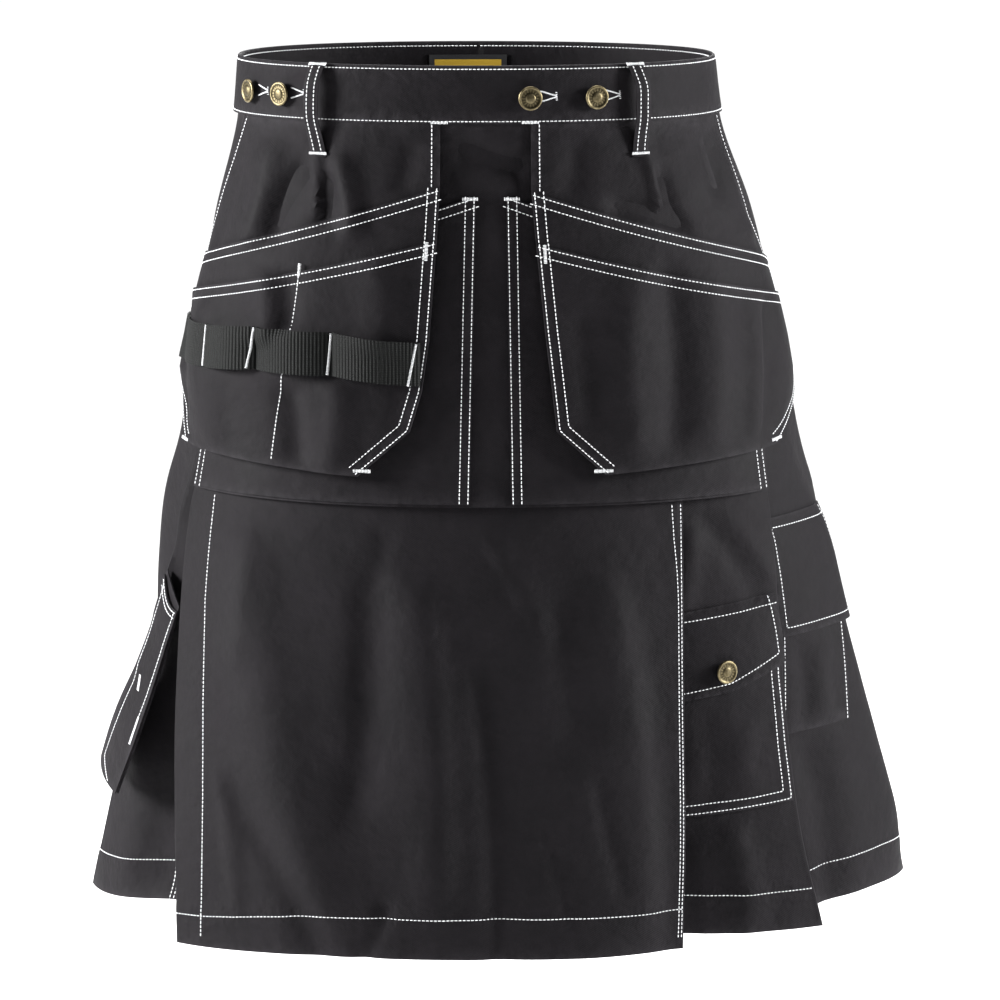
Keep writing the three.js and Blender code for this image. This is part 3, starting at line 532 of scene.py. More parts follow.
# Each hem: how far above the longest point where it starts to change, how much more after that, and the
# girths, without their sign, between which it changes
HEMS = {
    "front_apron": dict(rise=5.5, more=-5.5, start=90, end=250, side=-1),
    "side_panel_right": dict(rise=4.5, more=0, start=0, end=1, side=1),
    "side_panel_left": dict(rise=13, more=-10, start=260, end=390, side=-1),
    "rear_panel_right": dict(rise=3, more=10, start=270, end=380, side=1),
    "rear_panel_left": dict(rise=3, more=9, start=420, end=580, side=-1),
    "back_panel": dict(rise=12, more=0, start=0, end=1, side=1),
}
HEM_EASE_TOP = -510
BACK_CREASES_TOP = -40


def hem_rise(name, girth):
    hem = HEMS[name]
    share = (hem["side"] * girth - hem["start"]) / (hem["end"] - hem["start"])
    return hem["rise"] + hem["more"] * ease(share)


def hemmed(name, girth, z):
    """The panel's heights, drawn up towards its hem."""
    return z + hem_rise(name, girth) * ease((HEM_EASE_TOP - z) / (HEM_EASE_TOP - HEM))


def skirt_share(z):
    return np.clip((BAND_BOTTOM - z) / (BAND_BOTTOM - HEM), 0, 1)


def ramped(front, front_out, girth, z, remains=0, rear=None):
    """How far out a panel lies: deepest where it starts behind the one in front, then up to the ring."""
    start = front.at("fold", z)
    full = FRONT_OUT - remains
    deepest = front_out(start, z) - front.at("recess", z)
    if rear is None:
        width = mix(RAMP_TOP, RAMP_FOOT, skirt_share(z) ** RAMP_WIDENING)
    else:
        width = np.maximum(np.abs(rear.at("fold", z) - start), RAMP_LEAST)
    share = np.clip(np.sign(start) * (girth - start) / width, 0, 1)
    return full + (deepest - full) * (1 - share) ** RAMP_POWER


def apron_base(girth, z):
    share = ease((girth - APRON_SINKS["start"]) / APRON_SINKS["width"])
    return FRONT_OUT - APRON_SINKS["by"] * share * skirt_share(z) ** 2


def side_right_base(girth, z):
    remains = WRAP_SINKS["by"] * ease((WRAP_SINKS["start"] - z) / WRAP_SINKS["fall"])
    return ramped(WRAP_EDGE, apron_base, girth, z, remains)


def side_left_base(girth, z):
    return ramped(APRON_FOLD, apron_base, girth, z, 0, SIDE_LEFT_FOLD)


def seam_share(z):
    """0 down to the side seam's foot, then up to 1 where the rear panel runs in behind the pleat."""
    return np.clip((SEAM_FOOT - z) / (SEAM_FOOT - SEAM_END), 0, 1)


def rear_base(fold, side_base, side, girth, z):
    seam = SIDE_SEAMS.at("left" if side < 0 else "right", z)
    lapped = mix(SIDE_SEAMS.at("out", z), FRONT_OUT, ease(side * (girth - seam) / SEAM_EASE))
    return mix(lapped, ramped(fold, side_base, girth, z), seam_share(z))


def rear_right_base(girth, z):
    return rear_base(SIDE_RIGHT_FOLD, side_right_base, 1, girth, z)


def rear_left_base(girth, z):
    return rear_base(SIDE_LEFT_FOLD, side_left_base, -1, girth, z)


def back_base(side, girth, z):
    fold, rear = (REAR_RIGHT_FOLD, rear_right_base) if side > 0 else (REAR_LEFT_FOLD, rear_left_base)
    past = np.abs(girth) - np.abs(fold.at("fold", z))
    height = FLUTE["height"] * ease((FLUTE["start"] - z) / FLUTE["fall"]) * ease(past / FLUTE["ease"])
    return ramped(fold, rear, girth, z) + height * np.sin(math.tau * past / FLUTE["pitch"])


def below(z, top, fall=30):
    """0 above a height and 1 below it, so that creases start only where the cloth is free."""
    return ease((top - z) / fall)


def hem_ply(name, girth, z):
    """The turned hem makes the cloth a little thicker below its stitch line."""
    return HEM_THICKER * ease((HEM + hem_rise(name, girth) + HEM_TURNED - z) / HEM_STEP + 0.5)


def panel_lie(name, base, relief, free):
    """How a panel lies: its base, its creases below the height where it hangs free, and its hem."""
    def lie(girth, z):
        return base(girth, z) + creased(relief, girth, z) * below(z, free) + hem_ply(name, girth, z)

    return lie


apron_lie = panel_lie("front_apron", apron_base, "apron", TOOL_APRON_FOOT)
side_right_lie = panel_lie("side_panel_right", side_right_base, "side_right", TOOL_APRON_FOOT)
side_left_lie = panel_lie("side_panel_left", side_left_base, "side_left", TOOL_APRON_FOOT)
rear_right_lie = panel_lie("rear_panel_right", rear_right_base, "rear_right", BACK_CREASES_TOP)
rear_left_lie = panel_lie("rear_panel_left", rear_left_base, "rear_left", BACK_CREASES_TOP)


def back_lie(side):
    return panel_lie("back_panel", lambda girth, z: back_base(side, girth, z), "back", BACK_CREASES_TOP)


def tool_apron_lie(girth, z):
    return TOOL_APRON_EDGES.at("out", z) + creased("tool_apron", girth, z) * below(z, *TOOL_APRON_FREE)


def patch_lie(girth, z):
    return tool_apron_lie(girth, z) + LAYER


# The holsters' plies: the first row of the table that each reaches up to, layers off the back, slack, rows
# of points down it, and how many points of its edges have their sewing in sight
HOLSTER_PLIES = {
    "holster_back": dict(first=0, lifts=0, slack=0, rows=57, sewn=3),
    "holster_inner_pocket": dict(first=2, lifts=1, slack=2, rows=47, sewn=2),
    "holster_outer_pocket": dict(first=3, lifts=2, slack=4.5, rows=40, sewn=5),
}


def holster_spot(side, row, across):
    """Girth and height at a row of a holster's table and a share across it, from the inner edge."""
    table = HOLSTERS[side]
    girth = mix(table.straight("inner", row), table.straight("outer", row), across)
    z = mix(table.straight("innerZ", row), table.straight("outerZ", row), across)
    dip = MOUTH_DIP * np.sin(np.pi * across) * np.minimum(row, 1) * np.clip(4 - row, 0, 1)
    return girth, z - dip - SEAM_GAP * (row == 0)


def holster_out(side, ply, row, across):
    table = HOLSTERS[side]
    ply = HOLSTER_PLIES[ply]
    girth, z = holster_spot(side, row, across)
    drop = ease((across - EDGE_DROP) / (1 - EDGE_DROP))
    down = np.clip((row - ply["first"]) / (HOLSTER_ROWS - ply["first"]), 0, 1)
    sag = ply["slack"] * np.sin(np.pi * across) * np.sin(np.pi * mix(*HOLSTER_SAG, down))
    relief = creased(f"holster_{side}", girth, z) * below(z, *HOLSTER_FREE)
    relief = relief * mix(CREASES_FADE["least"], 1, ease(across * CREASES_FADE["inner"]))
    relief = relief * ease((1 - across) * CREASES_FADE["outer"])
    out = mix(table.at("out", row), table.at("edge", row), drop) + ply["lifts"] * LAYER
    return out + np.maximum(sag, 0) + relief


def halved(low, high, too_far, rounds=18):
    for _ in range(rounds):
        middle = (low + high) / 2
        far = too_far(middle)
        low, high = np.where(far, low, middle), np.where(far, middle, high)
    return low


def found(spot, row_first, row_last, girth, z, sign):
    """The row and share across at which a table has a girth and height."""
    girth, z = np.broadcast_arrays(np.asarray(girth, float), np.asarray(z, float))
    across, zero = np.full(girth.shape, 0.5), np.zeros(girth.shape)
    row = zero + row_first
    for _ in range(5):
        row = halved(zero + row_first, zero + row_last, lambda r: spot(r, across)[1] < z)
        across = halved(zero - 0.02, zero + 1.02, lambda a: sign * spot(row, a)[0] > sign * girth)
    return row, across


def holster_lie(side, ply):
    """How a holster's ply lies as a function of girth and height."""
    sign = -1 if side == "left" else 1

    def lie(girth, z):
        row, across = found(
            lambda r, a: holster_spot(side, r, a), HOLSTER_PLIES[ply]["first"], HOLSTER_ROWS, girth, z, sign
        )
        return holster_out(side, ply, row, across)

    return lie


def pocket_spot(table, point, row, across):
    girth = mix(table.straight("front", row), table.straight("rear", row), across)
    z = mix(table.straight("frontZ", row), table.straight("rearZ", row), across)
    if point:
        last = len(table.key) - 1
        reach = np.maximum(0, 1 - np.abs(girth - point["girth"]) / point["reach"])
        z = z - point["drop"] * reach * np.clip(row - last + 1, 0, 1)
    return girth, z


def pocket_out(table, panel_lie, relief, point, row, across):
    girth, z = pocket_spot(table, point, row, across)
    slack = table.at("slack", row) * np.sin(np.pi * np.clip(across, 0, 1)) ** POCKET_FULLNESS
    return panel_lie(girth, z) + table.at("lifts", row) * LAYER + slack + creased(relief, girth, z)


def pocket_lie(table, panel_lie, relief, point=None):
    def lie(girth, z):
        last = len(table.key) - 1
        row, across = found(lambda r, a: pocket_spot(table, point, r, a), 0, last, girth, z, 1)
        return pocket_out(table, panel_lie, relief, point, row, across)

    return lie


# Meshes
def thick(points, ply):
    """The outer and inner faces of a ply whose middle lies at these rows of points, from the top down."""
    normal = np.cross(np.gradient(points, axis=0), np.gradient(points, axis=1))
    normal /= np.maximum(np.linalg.norm(normal, axis=-1, keepdims=True), 1e-9)
    return points + normal * ply / 2, points - normal * ply / 2


def quads_of(index):
    """The quads between neighbouring rows and columns of point numbers."""
    corners = index[:-1, :-1], index[1:, :-1], index[1:, 1:], index[:-1, 1:]
    return np.stack(corners, axis=-1).reshape(-1, 4)


def wall_quads(rows, columns):
    """The quads of an outer and an inner grid of points, closed round the outline."""
    index = np.arange(rows * columns).reshape(rows, columns)
    back = index + rows * columns
    outline = (
        (index[0], back[0], 1),
        (index[-1], back[-1], 0),
        (index[:, 0], back[:, 0], 0),
        (index[:, -1], back[:, -1], 1),
    )
    rim = [quads_of(np.stack([outer, inner], axis=axis)) for outer, inner, axis in outline]
    return np.vstack([quads_of(index), quads_of(back.T), *rim])


def turned_quads(rows, columns, closed=False):
    """The quads of a profile's rings, which are also joined from the last to the first when closed."""
    index = np.arange(rows * columns).reshape(rows, columns)
    index = np.hstack([index, index[:, :1]])
    if closed:
        index = np.vstack([index, index[:1]])
    return quads_of(index.T)


def new_mesh(name, points, faces, sharp=50, **attributes):
    """A smooth mesh from points, arrays of triangles or quads, and a value or vector for each point."""
    mesh = bpy.data.meshes.new(name)
    points = np.asarray(points, float).reshape(-1, 3)
    corners = np.concatenate([group.ravel() for group in faces])
    sizes = np.concatenate([np.full(len(group), group.shape[1]) for group in faces])
    mesh.vertices.add(len(points))
    mesh.vertices.foreach_set("co", (points * MM).ravel())
    mesh.loops.add(len(corners))
    mesh.loops.foreach_set("vertex_index", corners)
    mesh.polygons.add(len(sizes))
    mesh.polygons.foreach_set("loop_start", np.concatenate([[0], np.cumsum(sizes)[:-1]]))
    mesh.update(calc_edges=True)
    mesh.validate()
    mesh.shade_smooth()
    mesh.set_sharp_from_angle(angle=math.radians(sharp))
    for key, values in attributes.items():
        values = np.asarray(values, float)
        if values.ndim > 1:
            mesh.attributes.new(key, "FLOAT_VECTOR", "POINT").data.foreach_set("vector", values.ravel())
        else:
            mesh.attributes.new(key, "FLOAT", "POINT").data.foreach_set("value", values)
    return mesh


def ply_mesh(name, points, ply, weave, **attributes):
    """A closed ply whose middle lies at these rows of points, with the same attributes on both faces."""
    faces = [face.reshape(-1, 3) for face in thick(points, ply)]
    both = {key: np.tile(values.ravel(), 2) for key, values in attributes.items()}
    weave = np.tile(weave.reshape(-1, 3) * MM, (2, 1))
    return new_mesh(name, np.concatenate(faces), [wall_quads(*points.shape[:2])], weave=weave, **both)


def linked(name, data):
    """An object with this data, in the scene."""
    made = bpy.data.objects.new(name, data)
    bpy.context.scene.collection.objects.link(made)
    return made


def add_piece(name, mesh, material, nodes=()):
    piece = linked(name, mesh)
    mesh.materials.append(MATERIALS[material])
    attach(piece, "root")
    if nodes:
        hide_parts(*nodes)
    return piece


def nearness(girth, z, paths, reach):
    """1 on any of the paths, falling to 0 a few times the reach away."""
    least = np.full(np.shape(girth), 1e6)
    for path in paths:
        for (g0, z0), (g1, z1) in zip(path[:-1], path[1:]):
            length = max(math.hypot(g1 - g0, z1 - z0), 1e-6)
            share = np.clip(((girth - g0) * (g1 - g0) + (z - z0) * (z1 - z0)) / length**2, 0, 1)
            least = np.minimum(least, np.hypot(girth - mix(g0, g1, share), z - mix(z0, z1, share)))
    return np.exp(-((least / reach) ** 2))


PUCKER_REACH = 8
EDGE_REACH = 4


def from_ends(count):
    return np.minimum(np.arange(count), np.arange(count)[::-1])


def shell(name, girth, z, out, paths=(), ply=PLY, looks=("twill", "cloth")):
    """A ply of cloth through rows of girths, heights and outs, with its node of the frame hidden."""
    girth, z, out = np.broadcast_arrays(girth, z, out)
    points = place(girth, z, out)
    rows, columns = girth.shape
    from_edge = np.minimum(from_ends(rows)[:, None], from_ends(columns)[None, :])
    # edge: nearness to the ply's rim, where the twill paints a lighter sheen
    edge = np.exp(-from_edge * CLOTH_TICK / EDGE_REACH)
    pucker = nearness(girth, z, paths, PUCKER_REACH) if paths else np.zeros(girth.shape)
    weave = np.stack([girth, z, out], axis=-1)
    mesh = ply_mesh(f"cloth_{name}", points, ply, weave, edge=edge, pucker=pucker)
    material, slot = looks
    piece = add_piece(f"cloth_{name}", mesh, material, [name])
    return piece


# Sewing
STITCH_RINGS = (
    # share along the stitch, size, lift
    (0.1, 0.75, -0.15),
    (0.5, 1.0, 0.25),
    (0.9, 0.75, -0.15),
)
TIP_SINK = 0.9
THREAD_SIDES = 4


class Sewing:
    """Stitches gathered along paths on a surface, made into one thread mesh."""

    def __init__(self, surface):
        self.surface = surface
        self.stitches = []

    def up(self, u, v):
        here = self.surface(u, v)
        normal = np.cross(self.surface(u + 0.5, v) - here, self.surface(u, v + 0.5) - here)
        return normal / np.maximum(np.linalg.norm(normal, axis=-1, keepdims=True), 1e-9)

    def row(self, path, aside=0.0, pitch=STITCH_PITCH, radius=THREAD_RADIUS):
        """A row of running stitches beside a path; aside is to the left of the way along it."""
        u, v = dense(beside(path, aside))
        points = self.surface(u, v)
        length = np.concatenate([[0], np.cumsum(np.linalg.norm(np.diff(points, axis=0), axis=-1))])
        count = max(int(length[-1] / pitch), 1)
        middle = (np.arange(count) + 0.5) * length[-1] / count
        reach = 0.41 * length[-1] / count

        def at(where):
            return np.stack([np.interp(where, length, points[:, axis]) for axis in range(3)], axis=-1)

        up = self.up(np.interp(middle, length, u), np.interp(middle, length, v))
        self.stitches.append((at(middle - reach), at(middle + reach), up, np.full(count, radius)))

    def rows(self, path, asides):
        for aside in asides:
            self.row(path, aside)

    def tack(self, start, end, width=2.6, pitch=0.85, radius=0.45):
        """A bartack: close cross stitches from start to end."""
        (u0, v0), (u1, v1) = start, end
        length = math.hypot(u1 - u0, v1 - v0)
        share = np.linspace(0, 1, max(int(length / pitch), 2))
        u, v = mix(u0, u1, share), mix(v0, v1, share)
        aside_u, aside_v = -(v1 - v0) / length * width / 2, (u1 - u0) / length * width / 2
        a, b = self.surface(u - aside_u, v - aside_v), self.surface(u + aside_u, v + aside_v)
        self.stitches.append((a, b, self.up(u, v), np.full(len(u), radius)))

    def finish(self, name):
        start, end, up, radius = (np.concatenate(part) for part in zip(*self.stitches))
        along = (end - start) / np.linalg.norm(end - start, axis=-1, keepdims=True)
        aside = np.cross(up, along)
        rings = []
        for share, size, lift in STITCH_RINGS:
            centre = mix(start, end, share) + up * (radius * lift)[:, None]
            for side in range(THREAD_SIDES):
                angle = math.tau * (side + 0.5) / THREAD_SIDES
                turn = math.cos(angle) * aside + math.sin(angle) * up
                rings.append(centre + turn * (radius * size)[:, None])
        tips = [start - up * radius[:, None] * TIP_SINK, end - up * radius[:, None] * TIP_SINK]
        points = np.stack(rings + tips, axis=1)
        count = points.shape[1]
        quads, triangles = [], []
        for side in range(THREAD_SIDES):
            other = (side + 1) % THREAD_SIDES
            for ring in range(len(STITCH_RINGS) - 1):
                low, high = ring * THREAD_SIDES, (ring + 1) * THREAD_SIDES
                quads.append((low + side, low + other, high + other, high + side))
            last = (len(STITCH_RINGS) - 1) * THREAD_SIDES
            triangles.append((count - 2, other, side))
            triangles.append((count - 1, last + side, last + other))
        offset = (np.arange(len(points)) * count)[:, None, None]
        faces = [
            (offset + np.array(group)[None]).reshape(-1, len(group[0])) for group in (quads, triangles)
        ]
        mesh = new_mesh(f"thread_{name}", points, faces, sharp=180)
        return add_piece(f"thread_{name}", mesh, "thread")


def beside(path, aside):
    """A path moved sideways in the cloth's plane, with mitred corners."""
    points = np.array(path, float)
    step = np.diff(points, axis=0)
    step /= np.maximum(np.linalg.norm(step, axis=1, keepdims=True), 1e-9)
    left = np.stack([-step[:, 1], step[:, 0]], axis=1)
    before, after = np.vstack([left[:1], left]), np.vstack([left, left[-1:]])
    corner = (before + after) / (1 + np.maximum((before * after).sum(axis=1, keepdims=True), -0.5))
    return points + corner * aside


def dense(points, step=1.0):
    length = np.concatenate([[0], np.cumsum(np.linalg.norm(np.diff(points, axis=0), axis=1))])
    where = np.linspace(0, length[-1], max(int(length[-1] / step), 2))
    return np.interp(where, length, points[:, 0]), np.interp(where, length, points[:, 1])


def face_of(lie):
    return lambda girth, z: place(girth, z, lie(girth, z) + PLY / 2)


def sew(name, lie, paths):
    """One row of running stitches along each path on the face of a piece."""
    sewing = Sewing(face_of(lie))
    for path in paths:
        sewing.row(path)
    sewing.finish(name)


def shares(length, tick=CLOTH_TICK):
    """Shares from 0 to 1 for the points along about this length."""
    return np.linspace(0, 1, int(length / tick))


def smooth_path(at, top, foot, count=14):
    """A path down the cloth through at(z) from one height to another."""
    heights = np.linspace(top, foot, count)
    return [(float(at(z)), float(z)) for z in heights]


# Body panels
UPPER_FALL = 101
LOWER_FALL = 465
FOLD_RADIUS = 1.6
FOLD_STAY = 4
FOLD_POINTS = 9
UNDER_POINTS = 5


def panel_heights(tick):
    upper = np.linspace(BAND_BOTTOM - SEAM_GAP, SEAM_FOOT, int(UPPER_FALL / tick) + 1)
    middle = np.linspace(SEAM_FOOT, SEAM_END, SEAM_ROWS)[1:-1]
    lower = np.linspace(SEAM_END, HEM, int(LOWER_FALL / tick) + 1)
    return np.concatenate([upper, middle, lower])[:, None]


def folded_edge(fold, side, z, lie):
    """The places round a pleat's fold and back in beneath it."""
    turn, under = fold.at("fold", z), fold.at("under", z)
    depth = np.maximum(fold.at("recess", z) - LAYER, LAYER)
    radius = np.minimum(FOLD_RADIUS, depth / 2)
    out = lie(turn, z)
    angle = np.linspace(0, np.pi, FOLD_POINTS)[None, :]
    share = np.linspace(0, 1, UNDER_POINTS)[None, 1:]
    inwards = np.hstack([radius * (1 - np.sin(angle)), mix(radius, under, share)])
    deeper = np.hstack([radius * (1 - np.cos(angle)), mix(2 * radius, depth, share)])
    return turn - side * inwards, out - deeper


def panel_rows(name, side, start, fold, lie, tick):
    """Girths, heights and outs of a panel from its hidden start to its pleat's fold at the rear."""
    z = panel_heights(tick)
    first, turn = start(z), fold.at("fold", z) - side * FOLD_STAY
    count = int(np.abs(turn - first).max() / tick)
    girth = first + (turn - first) * np.linspace(0, 1, count)[None, :]
    fold_girth, fold_out = folded_edge(fold, side, hemmed(name, turn, z), lie)
    out = np.hstack([lie(girth, hemmed(name, girth, z)), fold_out])
    girth = np.hstack([girth, fold_girth])
    z = hemmed(name, girth, z)
    return (girth, z, out) if side > 0 else (girth[:, ::-1], z[:, ::-1], out[:, ::-1])


def hem_path(name, start, end, narrower=0, count=16):
    """A hem's stitch line; narrower is how much less is turned up towards a piece's left end."""
    girths = np.linspace(start, end, count)
    turned = HEM_TURNED - narrower * ease((HEM_NARROWS - girths) / HEM_NARROWING)
    return list(zip(girths.tolist(), (HEM + hem_rise(name, girths) + turned).tolist()))


def rear_start(fold, side):
    def start(z):
        seam = SIDE_SEAMS.at("left" if side < 0 else "right", z) + side * REAR_PAST_SEAM
        return mix(seam, fold.at("fold", z) - side * (fold.at("under", z) + LAP_PAST), seam_share(z))

    return start


APRON_WIDTH = 385
APRON_STITCHES = (-284, -581)
APRON_EDGE_ROWS = dict(outer=1.8, inner=4.2, spread=4.5, spread_z=-350, spread_fall=66)
APRON_LEFT_ROW = [(-203.7, -284), (-207.9, -357), (-207, -426), (-204.5, -494), (-203, -586)]


def apron_edge_rows():
    """The two rows beside the apron's free edge, which draw together below the tool apron."""
    rows = APRON_EDGE_ROWS

    def outer(z):
        return WRAP_EDGE.at("fold", z) - rows["outer"]

    def inner(z):
        spread = rows["spread"] * ease((z - rows["spread_z"]) / rows["spread_fall"])
        return WRAP_EDGE.at("fold", z) - rows["inner"] - spread

    return [smooth_path(at, *APRON_STITCHES) for at in (outer, inner)]


def apron():
    z = panel_heights(CLOTH_TICK)
    edge, fold = WRAP_EDGE.at("fold", z), APRON_FOLD.at("fold", z) + FOLD_STAY
    fold_girth, fold_out = folded_edge(APRON_FOLD, -1, hemmed("front_apron", fold, z), apron_lie)
    girth = mix(fold, edge, shares(APRON_WIDTH)[None, :])
    out = np.hstack([fold_out[:, ::-1], apron_lie(girth, hemmed("front_apron", girth, z))])
    girth = np.hstack([fold_girth[:, ::-1], girth])
    z = hemmed("front_apron", girth, z)
    hem = hem_path("front_apron", -227, 148, narrower=7)
    outer, inner = apron_edge_rows()
    shell("front_apron", girth, z, out, [hem, APRON_LEFT_ROW, outer])
    sew("front_apron", apron_lie, [hem, APRON_LEFT_ROW, outer, inner])


def wrap_start(z):
    return WRAP_EDGE.at("fold", z) - WRAP_EDGE.at("beneath", z)


def side_left_start(z):
    return APRON_FOLD.at("fold", z) + APRON_FOLD.at("under", z)


SIDE_LEFT_TUCKS = ([(-296, -534), (-297.5, -585)], [(-291.5, -556), (-293.5, -585)])
PLEATED_PANELS = {
    "side_panel_right": dict(
        side=1, start=wrap_start, fold=SIDE_RIGHT_FOLD, lie=side_right_lie, tick=CLOTH_TICK,
        hem=(100, 266), tucks=(),
    ),
    "side_panel_left": dict(
        side=-1, start=side_left_start, fold=SIDE_LEFT_FOLD, lie=side_left_lie, tick=CLOTH_TICK,
        hem=(-390, -205), tucks=SIDE_LEFT_TUCKS,
    ),
    "rear_panel_right": dict(
        side=1, start=rear_start(SIDE_RIGHT_FOLD, 1), fold=REAR_RIGHT_FOLD, lie=rear_right_lie,
        tick=HIDDEN_TICK, hem=(250, 640), tucks=(),
    ),
    "rear_panel_left": dict(
        side=-1, start=rear_start(SIDE_LEFT_FOLD, -1), fold=REAR_LEFT_FOLD, lie=rear_left_lie,
        tick=HIDDEN_TICK, hem=(-375, -605), tucks=(),
    ),
}


def pleated_panel(name, side, start, fold, lie, tick, hem, tucks):
    girth, z, out = panel_rows(name, side, start, fold, lie, tick)
    paths = [hem_path(name, *hem), *tucks]
    shell(name, girth, z, out, paths)
    sew(name, lie, paths)


BACK_HALF_WIDTH = 230
BACK_HEM_STARTS = {1: 625, -1: -585}


def back_panel():
    z = panel_heights(HIDDEN_TICK)
    raised = hemmed("back_panel", 0, z)
    halves = []
    for side, fold in ((1, REAR_RIGHT_FOLD), (-1, REAR_LEFT_FOLD)):
        start = fold.at("fold", z) - side * fold.at("under", z)
        end = side * half_girth(raised, side)
        girth = mix(start, end, shares(BACK_HALF_WIDTH, HIDDEN_TICK)[None, :])
        halves.append((girth, back_lie(side)(girth, raised)))
    (right, right_out), (left, left_out) = halves
    whole = half_girth(raised, 1) + half_girth(raised, -1)
    girth = np.hstack([right, left[:, -2::-1] + whole])
    out = np.hstack([right_out, left_out[:, -2::-1]])
    shell("back_panel", girth, raised, out)
    stitched = HEM + hem_rise("back_panel", 0) + HEM_TURNED
    for side, word in ((1, "right"), (-1, "left")):
        end = side * (half_girth(stitched, side) - 1)
        path = hem_path("back_panel", BACK_HEM_STARTS[side], end)
        sew(f"back_panel_{word}", back_lie(side), [path[::side]])


# The tool apron, its patch pockets and the holsters
TOOL_APRON_SIZE = (440, 261)
PATCH_SIZE = (215, 210)
PATCH_INSETS = np.array([1.3, 7.2])
PATCH_TACK_REACH = 5


def tool_apron():
    width, fall = TOOL_APRON_SIZE
    z = mix(BAND_BOTTOM - SEAM_GAP, TOOL_APRON_FOOT, shares(fall)[:, None])
    left, right = TOOL_APRON_EDGES.at("left", z), TOOL_APRON_EDGES.at("right", z)
    girth = mix(left, right, shares(width)[None, :])
    shell("tool_apron", girth, z, tool_apron_lie(girth, z))


def patch_outline(word):
    patch = PATCHES[word]
    inner_foot = (patch["inner_foot"], PATCH_FOOT)
    inner_top = (patch["inner"], PATCH_MOUTH)
    outer_top = (patch["outer"], PATCH_MOUTH_OUTER)
    outer_foot = (patch["outer_foot"], PATCH_FOOT)
    return inner_foot, inner_top, outer_top, outer_foot


def patch_pocket(word):
    inner_foot, inner_top, outer_top, outer_foot = patch_outline(word)
    side = -1 if word == "left" else 1
    width, fall = PATCH_SIZE
    down, across = shares(fall)[:, None], shares(width)[None, :]
    inner, outer = (
        [mix(top, foot, down) for top, foot in zip(*edge)]
        for edge in ((inner_top, inner_foot), (outer_top, outer_foot))
    )
    girth, z = (mix(a, b, across) for a, b in zip(inner, outer))
    paths = [[inner_foot, inner_top], [inner_top, outer_top], [outer_top, outer_foot]]
    name = f"patch_pocket_{word}"
    girth, z = girth[:, ::side], z[:, ::side]
    shell(name, girth, z, patch_lie(girth, z), paths)
    sewing = Sewing(face_of(patch_lie))
    for path in paths:
        sewing.rows(path, -side * PATCH_INSETS)
    corner, height = inner_top[0] + side * 4, PATCH_MOUTH - 2
    sewing.tack((corner - PATCH_TACK_REACH, height), (corner + PATCH_TACK_REACH, height))
    sewing.finish(name)


def holster_edge(side, column, rows):
    """The path along a holster's inner or outer edge through rows of its table."""
    table = HOLSTERS[side]
    return [(float(table.straight(column, r)), float(table.straight(f"{column}Z", r))) for r in rows]


MOUTH_POINTS = 20
MOUTH_ENDS = (0.005, 0.995)
HOLSTER_WIDTH = 245


def holster_mouth(side, row):
    across = np.linspace(*MOUTH_ENDS, MOUTH_POINTS)
    girth, z = holster_spot(side, np.full(MOUTH_POINTS, float(row)), across)
    return list(zip(girth.tolist(), z.tolist()))


def holster_ply(side, ply):
    """A holster's ply, and the paths along its inner edge, outer edge and mouth."""
    first = HOLSTER_PLIES[ply]["first"]
    row = np.linspace(first, HOLSTER_ROWS, HOLSTER_PLIES[ply]["rows"])
    row = np.unique(np.concatenate([row, np.arange(first, HOLSTER_ROWS + 1)]))[:, None]
    across = shares(HOLSTER_WIDTH)[None, :]
    girth, z = holster_spot(side, row, across)
    out = holster_out(side, ply, row, across)
    if side == "left":
        girth, z, out = girth[:, ::-1], z[:, ::-1], out[:, ::-1]
    inner, outer = (holster_edge(side, edge, range(first, HOLSTER_ROWS + 1)) for edge in ("inner", "outer"))
    mouth = holster_mouth(side, first)
    shell(f"{ply}_{side}", girth, z, out, [inner, outer] + ([mouth] if first else []))
    return inner, outer, mouth


HOLSTER_INSETS = np.array([1.8, 7.8])
BACK_INNER_INSET = 5.6
BACK_OUTER_INSET = 3.4
HOLSTER_DIVIDERS = {"left": [[(-120, -119), (-140.8, -252)]], "right": []}
HOLSTER_BARS = {
    "left": (
        ((-33.4, -100), (-34, -112)),
        ((-82, -256), (-71, -256)),
        ((-120, -117), (-120.8, -125)),
        ((-236, -248), (-226, -249)),
    ),
    "right": (
        ((45.4, -102), (46, -114)),
        ((79, -256), (91, -256)),
        ((219, -246), (230, -245)),
    ),
}


def holster(side):
    sign = -1 if side == "left" else 1
    for ply, values in HOLSTER_PLIES.items():
        inner, outer, mouth = holster_ply(side, ply)
        inner, outer = inner[:values["sewn"]], outer[:values["sewn"]]
        sewing = Sewing(face_of(holster_lie(side, ply)))
        if ply == "holster_back":
            sewing.row(inner, sign * BACK_INNER_INSET)
            sewing.row(outer, -sign * BACK_OUTER_INSET)
        else:
            sewing.rows(mouth, -sign * HOLSTER_INSETS)
            sewing.rows(inner, sign * HOLSTER_INSETS)
            sewing.rows(outer, -sign * HOLSTER_INSETS)
        if ply == "holster_outer_pocket":
            for start, end in HOLSTER_BARS[side]:
                sewing.tack(start, end)
            for path in HOLSTER_DIVIDERS[side]:
                sewing.row(path)
        sewing.finish(f"{ply}_{side}")


# Strap, loops, pockets, band
STRAP_STEPS = 24
STRAP_ROWS = 13
STRAP_PLY = 1.3
STRAP_FACE = 0.8
STRAP_TACK_INSET = 2.5
STRAP_TACK_WIDTH = 1.7


def strap_bow(girth):
    """How far the strap bows out: flat up to its first tack, then between tacks."""
    segment = np.clip(np.searchsorted(STRAP_TACKS, girth, side="right") - 1, 0, len(STRAP_TACKS) - 2)
    tacks = np.array(STRAP_TACKS, float)
    share = (girth - tacks[segment]) / (tacks[segment + 1] - tacks[segment])
    return np.where(segment == 0, 0, STRAP_BULGE * np.maximum(np.sin(np.pi * share), 0) ** STRAP_ROUND)


